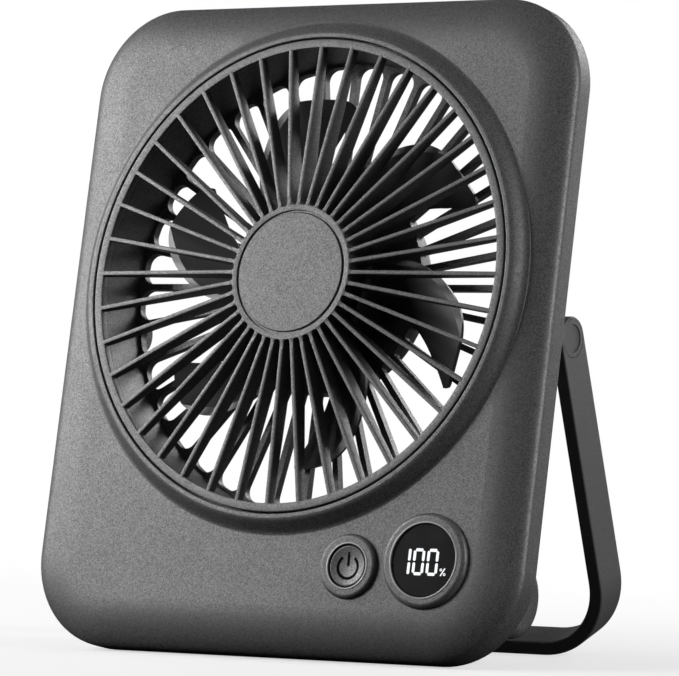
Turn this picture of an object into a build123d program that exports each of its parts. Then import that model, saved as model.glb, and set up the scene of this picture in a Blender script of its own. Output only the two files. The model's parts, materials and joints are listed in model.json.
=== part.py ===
"""Rechargeable desk fan: leaning case, radial grille, six-blade impeller, folding U-shaped stand.

World frame: +X right, +Y to the back, +Z up, table at Z = 0. Most pieces are drawn on the case's own
planes, whose origin is the centre of the grille at the rim, with y up the face and z out of the front.
"""
from build123d import *
from math import cos, pi, radians, sin, tan
import os

# Driving dimensions, in millimetres and degrees

# Case outline and soft front edge
side_margin = 6.4
top_margin = 5.9
panel_height = 31.4
case_corner = 25.0
edge_reach = 12.7
edge_depth = 5.1
side_depth = 5.1
lean_angle = 12.45
wall = 2.0
inner_round = 7.0

# Raised rim round the grille, and the air duct behind it
rim_height = 3.4
rim_reach = 4.3
lip_width = 1.1
lip_round = 0.35
rim_bend_share = 0.42
seam_gap = 0.4
ledge_thickness = 1.8
duct_wall = 1.6

# Front grille
grille_radius = 64.8
ring_width = 2.4
ring_depth = 2.6
spoke_count = 40
spoke_width = 1.15
spoke_depth = 6.4
slot_round = 0.8
slot_round_limit_share = 0.48
grille_hub_radius = 18.4
grille_hub_rise = 2.1
grille_hub_wall = 2.0
grille_hub_plate = 3.0
cap_radius = 16.4
cap_groove = 0.6
cap_thickness = 1.2
cap_edge = 0.3

# Rear shell and the rear grille let into it
flange_thickness = 2.2
flange_gap = 0.15
rear_clearance = 2.0
rear_taper = 1.2
rear_body_depth = 6.6
rear_round = 2.4
rear_seat_step = 0.9
rear_seat_fit = 0.05
bar_count = 36
bar_width = 1.7
bar_depth = 2.4
bar_outer_round = 3.2
bar_inner_round = 0.8
duct_margin = 0.8
motor_cup_gap = 5.4
motor_cup_wall = 4.0
motor_cup_rise = 0.4
motor_cup_back = 4.0
motor_cup_round = 2.0
motor_floor_thickness = 3.0

# Cells and the half-round compartment that holds them
cell_radius = 9.1
cell_margin = 12.0
cell_nub_radius = 2.8
cell_nub_height = 0.8
cell_clearance = 0.3
cell_lift = 20.5
cell_board_gap = 0.9
cell_wall = 1.6
contact_thickness = 0.6
contact_radius = 7.0
contact_gap = 0.1
bulge_round = 3.2

# Stand, its pivots and friction washers
pivot_drop = 12.7
arm_swing_gap = 2.1
stand_inset = 1.4
stand_thickness = 3.8
stand_splay = 17.5
stand_corner = 21.0
stand_edge = 0.5
arm_width = 11.6
pin_radius = 2.5
pin_clearance = 0.05
pin_head_radius = 4.0
pin_head_height = 1.0
pin_grip = 7.0
pin_boss_radius = 5.4
pin_boss_floor = 1.2
pivot_cap_radius = 5.1
pivot_cap_height = 1.0
pivot_cap_dish = 0.3
pivot_cap_dish_share = 0.74
pivot_cap_edge = 0.25
pivot_cap_fit = 0.05
head_clearance = 0.2
washer_thickness = 0.8
washer_gap = 0.1

# Impeller
blade_count = 6
blade_tip_gap = 11.4
blade_span = 7.6
blade_gap = 1.2
blade_thickness = 1.5
blade_tip_round = 3.0
blade_axis_angle = -12.0
blade_camber_share = 0.07
blade_overreach_share = 0.2
blade_sheet_shares = (0.34, 0.64, 1.04)
blade_sheet_fronts = (13.0, 8.0, -16.0)
blade_sheet_backs = (-11.0, -21.0, -41.0)
blade_front_shares = ((0.376, 13.0), (0.69, 6.5), (0.84, -2.0), (0.936, -8.5), (1.0, -18.0))
blade_back_shares = ((1.0, -39.0), (0.803, -28.5), (0.637, -21.0), (0.376, -11.0))
impeller_hub_share = 0.392
impeller_hub_length = 11.5
impeller_hub_nose = 2.9
impeller_hub_wall = 1.6
impeller_hub_round = 1.8

# Motor
shaft_radius = 1.5
shaft_clearance = 0.03
can_wall = 0.8
can_length = 9.0
magnet_wall = 1.5
magnet_length = 7.4
magnet_inset = 0.8
air_gap = 0.4
stator_length = 6.0
stator_hub_radius = 6.2
pole_count = 6
pole_width = 3.2
pole_shoe = 1.5
pole_gap = 2.4
coil_wall = 1.0
coil_slack = 0.15
coil_end_gap = 0.5
coil_round = 0.8
sleeve_wall = 1.3
sleeve_flange_radius = 8.0
sleeve_flange_height = 1.2
sleeve_spigot = 1.4
sleeve_reach = 11.4
bearing_wall = 1.6
bearing_length = 3.2
bearing_inset = 0.3
clip_radius = 2.7
clip_thickness = 0.4
clip_neck = 0.3
clip_gap = 0.15
clip_inset = 0.9
shaft_tail = 0.6
can_boss_radius = 2.6
motor_board_radius = 15.0
motor_board_thickness = 1.0
press_gap = 0.02

# Controls on the face
control_pitch = 23.4
button_drop_share = 0.236
button_radius = 5.6
button_gap = 0.25
button_sink = 0.3
button_edge = 0.5
button_travel = 0.6
button_dish = 0.5
button_skirt = 1.0
button_skirt_height = 1.0
button_skirt_gap = 0.3
button_stem_radius = 1.7
button_collar_radius = 8.7
button_collar_rise = 1.3
display_side = 27.5
display_drop_share = 0.166
lens_radius = 9.7
lens_thickness = 1.5
lens_gap = 0.1
lens_sink = 0.5
lens_edge = 0.3
lens_lip = 1.3
display_collar_radius = 12.7
display_collar_rise = 1.6
collar_bevel_share = 0.8
module_length = 13.6
module_height = 9.0
module_gap = 0.1

# Boards, switch and charging port
board_overhang = 12.0
board_tuck = 1.6
board_floor = 14.0
board_thickness = 1.2
board_corner = 1.5
board_standoff = 6.0
switch_size = 6.0
switch_height = 3.4
plunger_radius = 1.6
plunger_rise = 0.8
plunger_sink = 0.6
plunger_floor_gap = 0.3
plunger_clearance = 0.1
port_side = 26.5
port_bulge_gap = 9.0
port_width = 9.0
port_height = 3.2
port_length = 7.4
port_shell = 0.35
port_tongue_width = 6.6
port_tongue_height = 0.7
port_gap = 0.2
port_sink = 0.4
port_back = 1.0
charge_board_length = 22.0
charge_board_height = 10.0

# Screws and their bosses
screw_radius = 1.2
screw_head_radius = 2.2
screw_head_height = 1.4
screw_bite = 5.0
screw_gap = 0.1
screw_web = 2.4
screw_tip_gap = 0.4
boss_radius = 3.4
case_screw_inset = 18.5
case_screw_top_inset = 21.5
case_screw_board_gap = 6.1
post_radius = 2.4
post_screw_radius = 0.9
post_screw_head = 1.7
post_screw_head_height = 0.8
post_screw_bite = 3.2
post_inset = 3.2

# Extra length that carries every cut clear of the faces it starts from
overrun = 1.0
full_turn = 360.0

# Depths behind the rim plane
face_back = rim_height + wall
parting_depth = rim_height + edge_depth + side_depth
flange_depth = parting_depth - flange_thickness
rear_depth = parting_depth + rear_body_depth
rear_inner = rear_depth - wall
duct_floor = rear_depth - bar_depth
motor_back = rear_depth + motor_cup_back
motor_floor = motor_back - motor_floor_thickness
blade_back = duct_floor - blade_gap
blade_front = blade_back - blade_span
hub_front = blade_front - impeller_hub_nose
hub_back = hub_front + impeller_hub_length
can_front = hub_front + impeller_hub_wall
board_depth = face_back + board_standoff
board_back = board_depth + board_thickness
cell_depth = board_back + post_screw_head_height + cell_board_gap + cell_radius
pivot_depth = parting_depth + arm_width / 2 + arm_swing_gap
button_front = rim_height - button_collar_rise + button_sink
skirt_front = face_back + button_skirt_gap
switch_front = board_depth - switch_height
plunger_front = switch_front - plunger_rise
lens_front = rim_height - display_collar_rise + lens_sink
charge_board_depth = rear_depth - port_sink - port_length
sleeve_front = motor_floor - sleeve_reach
clip_depth = motor_floor - clip_inset
shaft_end = clip_depth + clip_thickness + shaft_tail
magnet_front = can_front + can_wall + magnet_inset
stator_front = magnet_front + (magnet_length - stator_length) / 2
motor_board_depth = motor_floor - sleeve_flange_height - motor_board_thickness
screw_seat = flange_depth + screw_web
bearing_front = sleeve_front + bearing_inset
bearing_back = clip_depth - clip_gap
can_boss_end = bearing_front - clip_gap
stator_middle = stator_front + stator_length / 2

# Radii shared by pieces that fit together
seat_radius = grille_radius + seam_gap
duct_radius = grille_radius - ring_width
tube_radius = duct_radius + duct_wall
rim_radius = seat_radius + lip_width + rim_reach
rear_seat_radius = duct_radius + rear_seat_step
blade_tip = duct_radius - blade_tip_gap
impeller_hub_radius = blade_tip * impeller_hub_share
motor_cup_radius = impeller_hub_radius + motor_cup_gap
can_radius = impeller_hub_radius - impeller_hub_wall
magnet_outer = can_radius - can_wall
magnet_inner = magnet_outer - magnet_wall
stator_radius = magnet_inner - air_gap
bearing_bore = shaft_radius + shaft_clearance
bearing_radius = bearing_bore + bearing_wall
sleeve_radius = bearing_radius + sleeve_wall
bulge_radius = cell_radius + cell_clearance + cell_wall
coil_root = stator_hub_radius + coil_slack
coil_end = stator_radius - pole_shoe - coil_end_gap

# Case outline, and the places on it of the pieces it carries
case_width = 2 * (rim_radius + side_margin)
case_top = rim_radius + top_margin
case_bottom = rim_radius + panel_height
rear_inset = stand_inset + stand_thickness + rear_clearance
stand_half_width = case_width / 2 - stand_inset
cell_length = case_width / 2 - cell_margin
cell_drop = case_bottom - cell_lift
display_offset = case_width / 2 - display_side
display_drop = rim_radius + panel_height * display_drop_share
button_offset = display_offset - control_pitch
button_drop = rim_radius + panel_height * button_drop_share
board_length = control_pitch + 2 * board_overhang
board_middle = (button_offset + display_offset) / 2
board_height = panel_height + board_tuck - board_floor
board_drop = rim_radius - board_tuck + board_height / 2
port_offset = case_width / 2 - port_side
port_drop = cell_drop - bulge_radius - port_bulge_gap
case_screw_side = case_width / 2 - case_screw_inset
case_screw_top = case_top - case_screw_top_inset
case_screw_low = port_drop - charge_board_height / 2 - boss_radius - case_screw_board_gap

# Distances across the case
pocket_half = contact_thickness / 2 + cell_length + contact_thickness + contact_gap
bulge_half = pocket_half + cell_wall
arm_inner = stand_half_width - stand_thickness
boss_face = arm_inner - washer_thickness - 2 * washer_gap
boss_root = boss_face - pin_grip - pin_boss_floor
head_seat = stand_half_width - pivot_cap_height - pin_head_height - 2 * head_clearance

# Placing of the case and the stand on the table
lean = radians(lean_angle)
splay = radians(stand_splay)
case_rise = case_bottom * cos(lean) + parting_depth * sin(lean)
pivot_back = pivot_depth * cos(lean) - pivot_drop * sin(lean)
pivot_rise = case_rise - pivot_drop * cos(lean) - pivot_depth * sin(lean)
arm_foot = arm_width / 2 - stand_edge
stand_length = stand_edge + (pivot_rise - stand_edge - arm_foot * sin(splay)) / cos(splay)
collar_front = rim_height - display_collar_rise
front_reach = (display_drop + display_collar_radius) * sin(lean) - collar_front * cos(lean)
back_reach = pivot_back + stand_length * sin(splay) + arm_width / 2 * cos(splay)
case_setback = (front_reach - back_reach) / 2


def leaning_plane(origin, angle):
    """Plane that faces the front, with x to the right, tipped back by an angle in degrees."""
    turn = radians(angle)
    return Plane(origin=origin, x_dir=(1, 0, 0), z_dir=(0, -cos(turn), sin(turn)))


case_plane = leaning_plane((0, case_setback, case_rise), lean_angle)
stand_plane = leaning_plane((0, case_setback + pivot_back, pivot_rise), -stand_splay)
fan_axis = Axis(case_plane.origin, case_plane.z_dir)
outline_height = case_top + case_bottom
outline_middle = (case_top - case_bottom) / 2
corner_across = case_width / 2 - case_corner
corner_up = outline_height / 2 - case_corner


def case_level(depth):
    """Case plane at a depth behind the rim."""
    return case_plane.offset(-depth)


def side_level(side, across, drop, depth):
    """Plane on the case that faces sideways, right for side 1 and left for side -1."""
    corner = case_plane.from_local_coords((side * across, -drop, -depth))
    return Plane(origin=corner, x_dir=case_plane.y_dir, z_dir=(side, 0, 0))


def case_outline(inset):
    """Rounded outline of the case, drawn in from its edge, for use inside a sketch."""
    with Locations((0, outline_middle)):
        RectangleRounded(case_width - 2 * inset, outline_height - 2 * inset, case_corner - inset)


def radial_slots(outer, inner, bars, width, outer_round, inner_round_radius):
    """Ring of slots between radial bars, with rounded ends, for use inside a sketch."""
    middle = (outer + inner) / 2
    inner_gap = 2 * pi * inner / bars - width
    inner_fillet = min(inner_round_radius, inner_gap * slot_round_limit_share)
    with BuildSketch(Plane.XY, mode=Mode.PRIVATE) as slots:
        Circle(outer)
        Circle(inner, mode=Mode.SUBTRACT)
        with PolarLocations(middle, bars):
            Rectangle(outer, width, mode=Mode.SUBTRACT)
        corners = slots.vertices().sort_by(lambda corner: corner.center().length)
        half = len(corners) // 2
        fillet(corners[:half], radius=inner_fillet)
        if outer_round:
            far = slots.vertices().sort_by(lambda corner: corner.center().length)
            fillet(far[-half:], radius=outer_round)
    add(slots.sketch)


def case_side(across, drop):
    """Plane through an axis that runs out of the face, with x to the right and y out of the front."""
    return Plane(
        origin=case_plane.from_local_coords((across, -drop, 0)), x_dir=(1, 0, 0), z_dir=-case_plane.y_dir
    )


def blade_level(reach):
    """Plane across a blade at a reach from the shaft, with x round the shaft and y out of the front."""
    turn = radians(blade_axis_angle)
    along = case_plane.x_dir * cos(turn) + case_plane.y_dir * sin(turn)
    around = case_plane.y_dir * cos(turn) - case_plane.x_dir * sin(turn)
    return Plane(origin=case_plane.origin + along * reach, x_dir=around, z_dir=along)


def blade_point(share, angle):
    """Point on the blade's outline, at a share of the tip radius and an angle from the right."""
    return (share * blade_tip * cos(radians(angle)), share * blade_tip * sin(radians(angle)))


def stand_side(side, across):
    """Plane at the stand's pivot that faces sideways, right for side 1 and left for side -1."""
    corner = stand_plane.from_local_coords((side * across, 0, 0))
    return Plane(origin=corner, x_dir=stand_plane.y_dir, z_dir=(side, 0, 0))


def case_screw_places():
    """Four screw centres on the case, two above the duct's middle and two below."""
    return [(side * case_screw_side, up) for side in (1, -1) for up in (case_screw_top, -case_screw_low)]


def board_post_places():
    """Two posts under the main board's lower corners and one at its upper middle."""
    across = board_length / 2 - post_inset
    up = board_height / 2 - post_inset
    return [
        (board_middle - across, -board_drop - up),
        (board_middle + across, -board_drop - up),
        (board_middle, -board_drop + up),
    ]


def charge_post_places():
    """Two posts beside the charging port."""
    across = charge_board_length / 2 - post_inset
    return [(-port_offset - across, -port_drop), (-port_offset + across, -port_drop)]


def finish(piece, name):
    """Labels a finished piece and writes its file."""
    piece.part.label = name
    export_step(piece.part, f"parts/{name}.step")


os.makedirs("parts", exist_ok=True)

# Hollow inside the front shell
with BuildPart() as front_hollow:
    with BuildSketch(case_level(parting_depth + overrun)):
        case_outline(wall)
    extrude(amount=parting_depth + overrun - face_back)
    fillet(front_hollow.faces().sort_by(fan_axis)[-1].edges(), radius=inner_round)

# Front shell: flat face, soft edge all round it, raised rim with the front half of the duct
with BuildPart() as front_shell:
    with BuildSketch(case_level(parting_depth)):
        with Locations((0, outline_middle)):
            Rectangle(2 * corner_across, 2 * corner_up)
    extrude(amount=edge_depth + side_depth)
    for turn, side, end, length in (
        (0, 1, 1, 2 * corner_up),
        (90, -1, 1, 2 * corner_across),
        (180, -1, -1, 2 * corner_up),
        (270, 1, -1, 2 * corner_across),
    ):
        corner = (side * corner_across, outline_middle + end * corner_up, -parting_depth)
        corner_axis = Axis(case_plane.from_local_coords(corner), case_plane.z_dir)
        outward = case_plane.x_dir * cos(radians(turn)) + case_plane.y_dir * sin(radians(turn))
        across_edge = Plane(corner_axis.position, x_dir=outward, z_dir=outward.cross(case_plane.z_dir))
        with BuildSketch(across_edge) as edge_section:
            with BuildLine():
                flat = case_corner - edge_reach
                top = edge_depth + side_depth
                Polyline((flat, top), (0, top), (0, 0), (case_corner, 0), (case_corner, side_depth))
                EllipticalCenterArc((flat, side_depth), edge_reach, edge_depth, start_angle=0, arc_size=90)
            make_face()
        extrude(amount=length)
        revolve(edge_section.sketch, axis=corner_axis, revolution_arc=90)
    add(front_hollow.part, mode=Mode.SUBTRACT)
    with BuildSketch(case_level(parting_depth)):
        Circle(seat_radius + lip_width + rim_reach / 2)
    extrude(amount=parting_depth + overrun, mode=Mode.SUBTRACT)
    with BuildSketch(case_side(0, 0)):
        with BuildLine():
            lip = seat_radius + lip_width
            bend = rim_reach * rim_bend_share
            Polyline((seat_radius, -lip_round), (seat_radius, -ring_depth), (duct_radius, -ring_depth))
            Polyline(
                (duct_radius, -ring_depth),
                (duct_radius, -parting_depth),
                (tube_radius, -parting_depth),
                (tube_radius, -ring_depth - ledge_thickness),
                (rim_radius, -face_back),
                (rim_radius, -rim_height),
            )
            Bezier((rim_radius, -rim_height), (rim_radius - bend, -rim_height), (lip + bend, 0), (lip, 0))
            Line((lip, 0), (seat_radius + lip_round, 0))
            RadiusArc((seat_radius + lip_round, 0), (seat_radius, -lip_round), -lip_round)
        make_face()
    revolve(axis=fan_axis)
    for across, drop, radius, rise in (
        (button_offset, button_drop, button_collar_radius, button_collar_rise),
        (display_offset, display_drop, display_collar_radius, display_collar_rise),
    ):
        with BuildSketch(case_level(face_back)):
            with Locations((across, -drop)):
                Circle(radius)
        extrude(amount=wall)
        with BuildSketch(case_level(rim_height)):
            with Locations((across, -drop)):
                Circle(radius)
        extrude(amount=rise)
        collar_top = case_plane.from_local_coords((across, -drop, rise - rim_height))
        rims = front_shell.edges().filter_by(GeomType.CIRCLE).sort_by(
            lambda edge: (edge.center() - collar_top).length
        )
        fillet(rims[0], radius=rise * collar_bevel_share)
    with BuildSketch(case_level(face_back + overrun)):
        with Locations((button_offset, -button_drop)):
            Circle(button_radius + button_gap)
        with Locations((display_offset, -display_drop)):
            Circle(lens_radius - lens_lip)
    extrude(amount=face_back + overrun, mode=Mode.SUBTRACT)
    with BuildSketch(case_level(lens_front + lens_thickness)):
        with Locations((display_offset, -display_drop)):
            Circle(lens_radius + lens_gap)
    extrude(amount=rim_height, mode=Mode.SUBTRACT)
    with BuildSketch(case_level(flange_depth)):
        with Locations(*case_screw_places()):
            Circle(boss_radius)
    extrude(amount=flange_depth - face_back + wall / 2)
    with BuildSketch(case_level(board_depth)):
        with Locations(*board_post_places()):
            Circle(post_radius)
    extrude(amount=board_standoff + wall / 2)
    with BuildSketch(case_level(flange_depth)):
        with Locations(*case_screw_places()):
            Circle(screw_radius + press_gap)
    extrude(amount=screw_bite, mode=Mode.SUBTRACT)
    with BuildSketch(case_level(board_depth)):
        with Locations(*board_post_places()):
            Circle(post_screw_radius + press_gap)
    extrude(amount=post_screw_bite, mode=Mode.SUBTRACT)
finish(front_shell, "front_shell")

# Front grille: a shallow cone cut into spokes
with BuildPart() as front_grille:
    with BuildSketch(case_side(0, 0)):
        with BuildLine():
            Polyline(
                (0, grille_hub_rise),
                (grille_hub_radius, grille_hub_rise),
                (duct_radius, 0),
                (grille_radius, 0),
                (grille_radius, -ring_depth),
                (duct_radius, -ring_depth),
                (grille_hub_radius, grille_hub_rise - spoke_depth),
                (grille_hub_radius - grille_hub_wall, grille_hub_rise - spoke_depth),
                (grille_hub_radius - grille_hub_wall, grille_hub_rise - grille_hub_plate),
                (0, grille_hub_rise - grille_hub_plate),
                close=True,
            )
        make_face()
    revolve(axis=fan_axis)
    with BuildSketch(case_level(spoke_depth)):
        radial_slots(duct_radius, grille_hub_radius, spoke_count, spoke_width, 0, slot_round)
    extrude(amount=spoke_depth + grille_hub_rise + overrun, mode=Mode.SUBTRACT)
    with BuildSketch(case_level(cap_thickness - grille_hub_rise)):
        Circle(cap_radius + cap_groove)
    extrude(amount=cap_thickness + overrun, mode=Mode.SUBTRACT)
finish(front_grille, "front_grille")

with BuildPart() as grille_cap:
    with BuildSketch(case_level(cap_thickness - grille_hub_rise)):
        Circle(cap_radius)
    extrude(amount=cap_thickness)
    fillet(grille_cap.edges().sort_by(fan_axis)[-1], radius=cap_edge)
finish(grille_cap, "grille_cap")

# Hollow inside the rear shell, and the half-round compartment on its back
with BuildPart() as rear_hollow:
    with BuildSketch(case_level(flange_depth - overrun)):
        case_outline(rear_inset + wall)
    with BuildSketch(case_level(rear_inner)):
        case_outline(rear_inset + rear_taper + wall)
    loft()

with BuildPart() as cell_bulge:
    with BuildSketch(side_level(1, -bulge_half, cell_drop, cell_depth)):
        with BuildLine():
            run = cell_depth - parting_depth
            Polyline((bulge_radius, 0), (bulge_radius, run), (-bulge_radius, run), (-bulge_radius, 0))
            ThreePointArc((-bulge_radius, 0), (0, -bulge_radius), (bulge_radius, 0))
        make_face()
    extrude(amount=2 * bulge_half)
    ends = cell_bulge.faces().filter_by(Axis.X)
    fillet(ends.edges().sort_by(fan_axis)[:-2], radius=bulge_round)

# Rear shell: flange, tapered body, rear half of the duct, seat for the rear grille, and pivot bosses
with BuildPart() as rear_shell:
    with BuildSketch(case_level(parting_depth)):
        case_outline(rear_inset)
    with BuildSketch(case_level(rear_depth)):
        case_outline(rear_inset + rear_taper)
    loft()
    fillet(rear_shell.faces().sort_by(fan_axis)[0].edges(), radius=rear_round)
    with BuildSketch(case_level(parting_depth)):
        case_outline(wall + flange_gap)
    extrude(amount=flange_thickness)
    add(cell_bulge.part)
    add(rear_hollow.part, mode=Mode.SUBTRACT)
    with BuildSketch(side_level(1, -pocket_half, cell_drop, cell_depth)):
        Circle(cell_radius + cell_clearance)
    extrude(amount=2 * pocket_half, mode=Mode.SUBTRACT)
    with BuildSketch(case_level(parting_depth)):
        Circle(tube_radius)
        Circle(duct_radius, mode=Mode.SUBTRACT)
    extrude(amount=parting_depth - rear_inner)
    for side in (1, -1):
        with BuildSketch(side_level(side, boss_root, pivot_drop, pivot_depth)):
            Circle(pin_boss_radius)
            with Locations((0, side * (pivot_depth - parting_depth) / 2)):
                Rectangle(2 * pin_boss_radius, pivot_depth - parting_depth)
        extrude(amount=boss_face - boss_root)
        with BuildSketch(side_level(side, boss_face - pin_grip, pivot_drop, pivot_depth)):
            Circle(pin_radius + press_gap)
        extrude(amount=pin_grip, mode=Mode.SUBTRACT)
    with BuildSketch(case_level(rear_depth)):
        Circle(duct_radius)
    extrude(amount=rear_depth - parting_depth, mode=Mode.SUBTRACT)
    with BuildSketch(case_level(duct_floor)):
        Circle(rear_seat_radius)
    extrude(amount=duct_floor - pivot_depth - pin_boss_radius, mode=Mode.SUBTRACT)
    with BuildSketch(case_level(rear_inner)):
        with Locations(*case_screw_places()):
            Circle(boss_radius)
    extrude(amount=rear_inner - flange_depth)
    with BuildSketch(case_level(rear_inner)):
        with Locations(*charge_post_places()):
            Circle(post_radius)
    extrude(amount=rear_inner - charge_board_depth)
    with BuildSketch(case_level(rear_depth)):
        with Locations(*case_screw_places()):
            Circle(screw_head_radius + screw_gap)
    extrude(amount=rear_depth - screw_seat, mode=Mode.SUBTRACT)
    with BuildSketch(case_level(screw_seat)):
        with Locations(*case_screw_places()):
            Circle(screw_radius + screw_gap)
    extrude(amount=screw_web + overrun, mode=Mode.SUBTRACT)
    with BuildSketch(case_level(charge_board_depth)):
        with Locations(*charge_post_places()):
            Circle(post_screw_radius + press_gap)
    extrude(amount=-post_screw_bite, mode=Mode.SUBTRACT)
    with BuildSketch(case_level(rear_depth + overrun)):
        with Locations((-port_offset, -port_drop)):
            SlotOverall(port_width + 2 * port_gap, port_height + 2 * port_gap)
    extrude(amount=wall + 2 * overrun, mode=Mode.SUBTRACT)
finish(rear_shell, "rear_shell")

# Rear grille: a disc cut into radial bars, with the motor cup at its middle
with BuildPart() as rear_grille:
    with BuildSketch(case_level(rear_depth)):
        Circle(rear_seat_radius - rear_seat_fit)
    extrude(amount=bar_depth)
    with BuildSketch(case_level(motor_back)):
        Circle(motor_cup_radius + motor_cup_wall)
    extrude(amount=motor_back - duct_floor + motor_cup_rise)
    fillet(rear_grille.edges().sort_by(fan_axis)[0], radius=motor_cup_round)
    with BuildSketch(case_level(motor_floor)):
        Circle(motor_cup_radius)
    extrude(amount=motor_floor - duct_floor + motor_cup_rise, mode=Mode.SUBTRACT)
    with BuildSketch(case_level(duct_floor - overrun)):
        outer = duct_radius - duct_margin
        inner = motor_cup_radius + motor_cup_wall
        radial_slots(outer, inner, bar_count, bar_width, bar_outer_round, bar_inner_round)
    extrude(amount=-bar_depth - 2 * overrun, mode=Mode.SUBTRACT)
    with BuildSketch(case_level(motor_floor)):
        Circle(sleeve_radius + press_gap)
    extrude(amount=-sleeve_spigot, mode=Mode.SUBTRACT)
finish(rear_grille, "rear_grille")

# One blade: a cambered sheet, trimmed to the blade's outline
with BuildPart() as blade:
    for share, front_angle, back_angle in zip(blade_sheet_shares, blade_sheet_fronts, blade_sheet_backs):
        reach = share * blade_tip
        ahead = Vector(reach * tan(radians(front_angle - blade_axis_angle)), -blade_front)
        behind = Vector(reach * tan(radians(back_angle - blade_axis_angle)), -blade_back)
        chord = ahead - behind
        ahead += chord * blade_overreach_share
        behind -= chord * blade_overreach_share
        normal = Vector(-chord.Y, chord.X).normalized()
        middle = (ahead + behind) / 2 + normal * chord.length * blade_camber_share
        shift = normal * blade_thickness
        with BuildSketch(blade_level(reach)):
            with BuildLine():
                ThreePointArc(ahead, middle, behind)
                Line(behind, behind - shift)
                ThreePointArc(behind - shift, middle - shift, ahead - shift)
                Line(ahead - shift, ahead)
            make_face()
    loft()
    with BuildSketch(case_level(blade_back)) as blade_outline:
        with BuildLine():
            front_line = Spline(*[blade_point(share, angle) for share, angle in blade_front_shares])
            back_line = Spline(*[blade_point(share, angle) for share, angle in blade_back_shares])
            tip_angle = (blade_front_shares[-1][1] + blade_back_shares[0][1]) / 2
            ThreePointArc(front_line @ 1, blade_point(1, tip_angle), back_line @ 0)
            Line(back_line @ 1, front_line @ 0)
        make_face()
        corners = blade_outline.vertices().sort_by(lambda corner: corner.center().length)
        fillet(corners[-2:], radius=blade_tip_round)
    extrude(amount=blade_span, mode=Mode.INTERSECT)

with BuildPart() as impeller:
    with BuildSketch(case_level(hub_back)):
        Circle(impeller_hub_radius)
    extrude(amount=impeller_hub_length)
    fillet(impeller.edges().sort_by(fan_axis)[-1], radius=impeller_hub_round)
    for index in range(blade_count):
        add(blade.part.rotate(fan_axis, index * full_turn / blade_count))
    with BuildSketch(case_level(hub_back)):
        Circle(can_radius)
    extrude(amount=hub_back - can_front, mode=Mode.SUBTRACT)
finish(impeller, "impeller")

# Motor: rotor can, magnet, shaft and clip turn; stator, coils, sleeve, bearings and board stay
with BuildPart() as rotor_can:
    with BuildSketch(case_level(can_front + can_length)):
        Circle(can_radius - press_gap)
        Circle(magnet_outer, mode=Mode.SUBTRACT)
    extrude(amount=can_length)
    with BuildSketch(case_level(can_front + can_wall)):
        Circle(can_radius - press_gap)
    extrude(amount=can_wall)
    with BuildSketch(case_level(can_boss_end)):
        Circle(can_boss_radius)
    extrude(amount=can_boss_end - can_front)
    with BuildSketch(case_level(can_boss_end + overrun)):
        Circle(shaft_radius + press_gap)
    extrude(amount=can_length, mode=Mode.SUBTRACT)
finish(rotor_can, "rotor_can")

with BuildPart() as magnet_ring:
    with BuildSketch(case_level(magnet_front + magnet_length)):
        Circle(magnet_outer - press_gap)
        Circle(magnet_inner, mode=Mode.SUBTRACT)
    extrude(amount=magnet_length)
finish(magnet_ring, "magnet_ring")

with BuildPart() as rotor_shaft:
    with BuildSketch(case_level(shaft_end)):
        Circle(shaft_radius)
    extrude(amount=shaft_end - can_front)
    with BuildSketch(case_level(clip_depth + clip_thickness)):
        Circle(shaft_radius + overrun)
        Circle(shaft_radius - clip_neck, mode=Mode.SUBTRACT)
    extrude(amount=clip_thickness, mode=Mode.SUBTRACT)
finish(rotor_shaft, "rotor_shaft")

with BuildPart() as shaft_clip:
    with BuildSketch(case_level(clip_depth + clip_thickness)):
        Circle(clip_radius)
        Circle(shaft_radius - clip_neck + press_gap, mode=Mode.SUBTRACT)
        with Locations((clip_radius / 2, 0)):
            Rectangle(clip_radius + overrun, 2 * (shaft_radius - clip_neck), mode=Mode.SUBTRACT)
    extrude(amount=clip_thickness)
finish(shaft_clip, "shaft_clip")

with BuildPart() as stator_core:
    with BuildSketch(case_level(stator_front + stator_length)):
        Circle(stator_radius)
        Circle(stator_radius - pole_shoe, mode=Mode.SUBTRACT)
        with PolarLocations(stator_radius, pole_count, start_angle=full_turn / pole_count / 2):
            Rectangle(pole_shoe * 2 + overrun, pole_gap, mode=Mode.SUBTRACT)
        with PolarLocations(stator_radius / 2, pole_count):
            Rectangle(stator_radius - pole_shoe, pole_width)
        Circle(stator_hub_radius)
        Circle(sleeve_radius + press_gap, mode=Mode.SUBTRACT)
    extrude(amount=stator_length)
finish(stator_core, "stator_core")

coil_origin = case_plane.from_local_coords((coil_root, 0, -stator_middle))
with BuildPart() as coil:
    with BuildSketch(Plane(origin=coil_origin, x_dir=case_plane.y_dir, z_dir=case_plane.x_dir)):
        across_pole = pole_width + 2 * coil_slack
        along_pole = stator_length + 2 * coil_slack
        RectangleRounded(across_pole + 2 * coil_wall, along_pole + 2 * coil_wall, coil_round)
        Rectangle(across_pole, along_pole, mode=Mode.SUBTRACT)
    extrude(amount=coil_end - coil_root)

with BuildPart() as stator_coils:
    for index in range(pole_count):
        add(coil.part.rotate(fan_axis, index * full_turn / pole_count))
finish(stator_coils, "stator_coils")

with BuildPart() as bearing_sleeve:
    with BuildSketch(case_level(motor_floor + sleeve_spigot)):
        Circle(sleeve_radius)
    extrude(amount=sleeve_spigot + sleeve_reach)
    with BuildSketch(case_level(motor_floor)):
        Circle(sleeve_flange_radius)
    extrude(amount=sleeve_flange_height)
    with BuildSketch(case_level(motor_floor + sleeve_spigot)):
        Circle(bearing_radius + press_gap)
    extrude(amount=sleeve_spigot + sleeve_reach, mode=Mode.SUBTRACT)
finish(bearing_sleeve, "bearing_sleeve")

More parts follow.
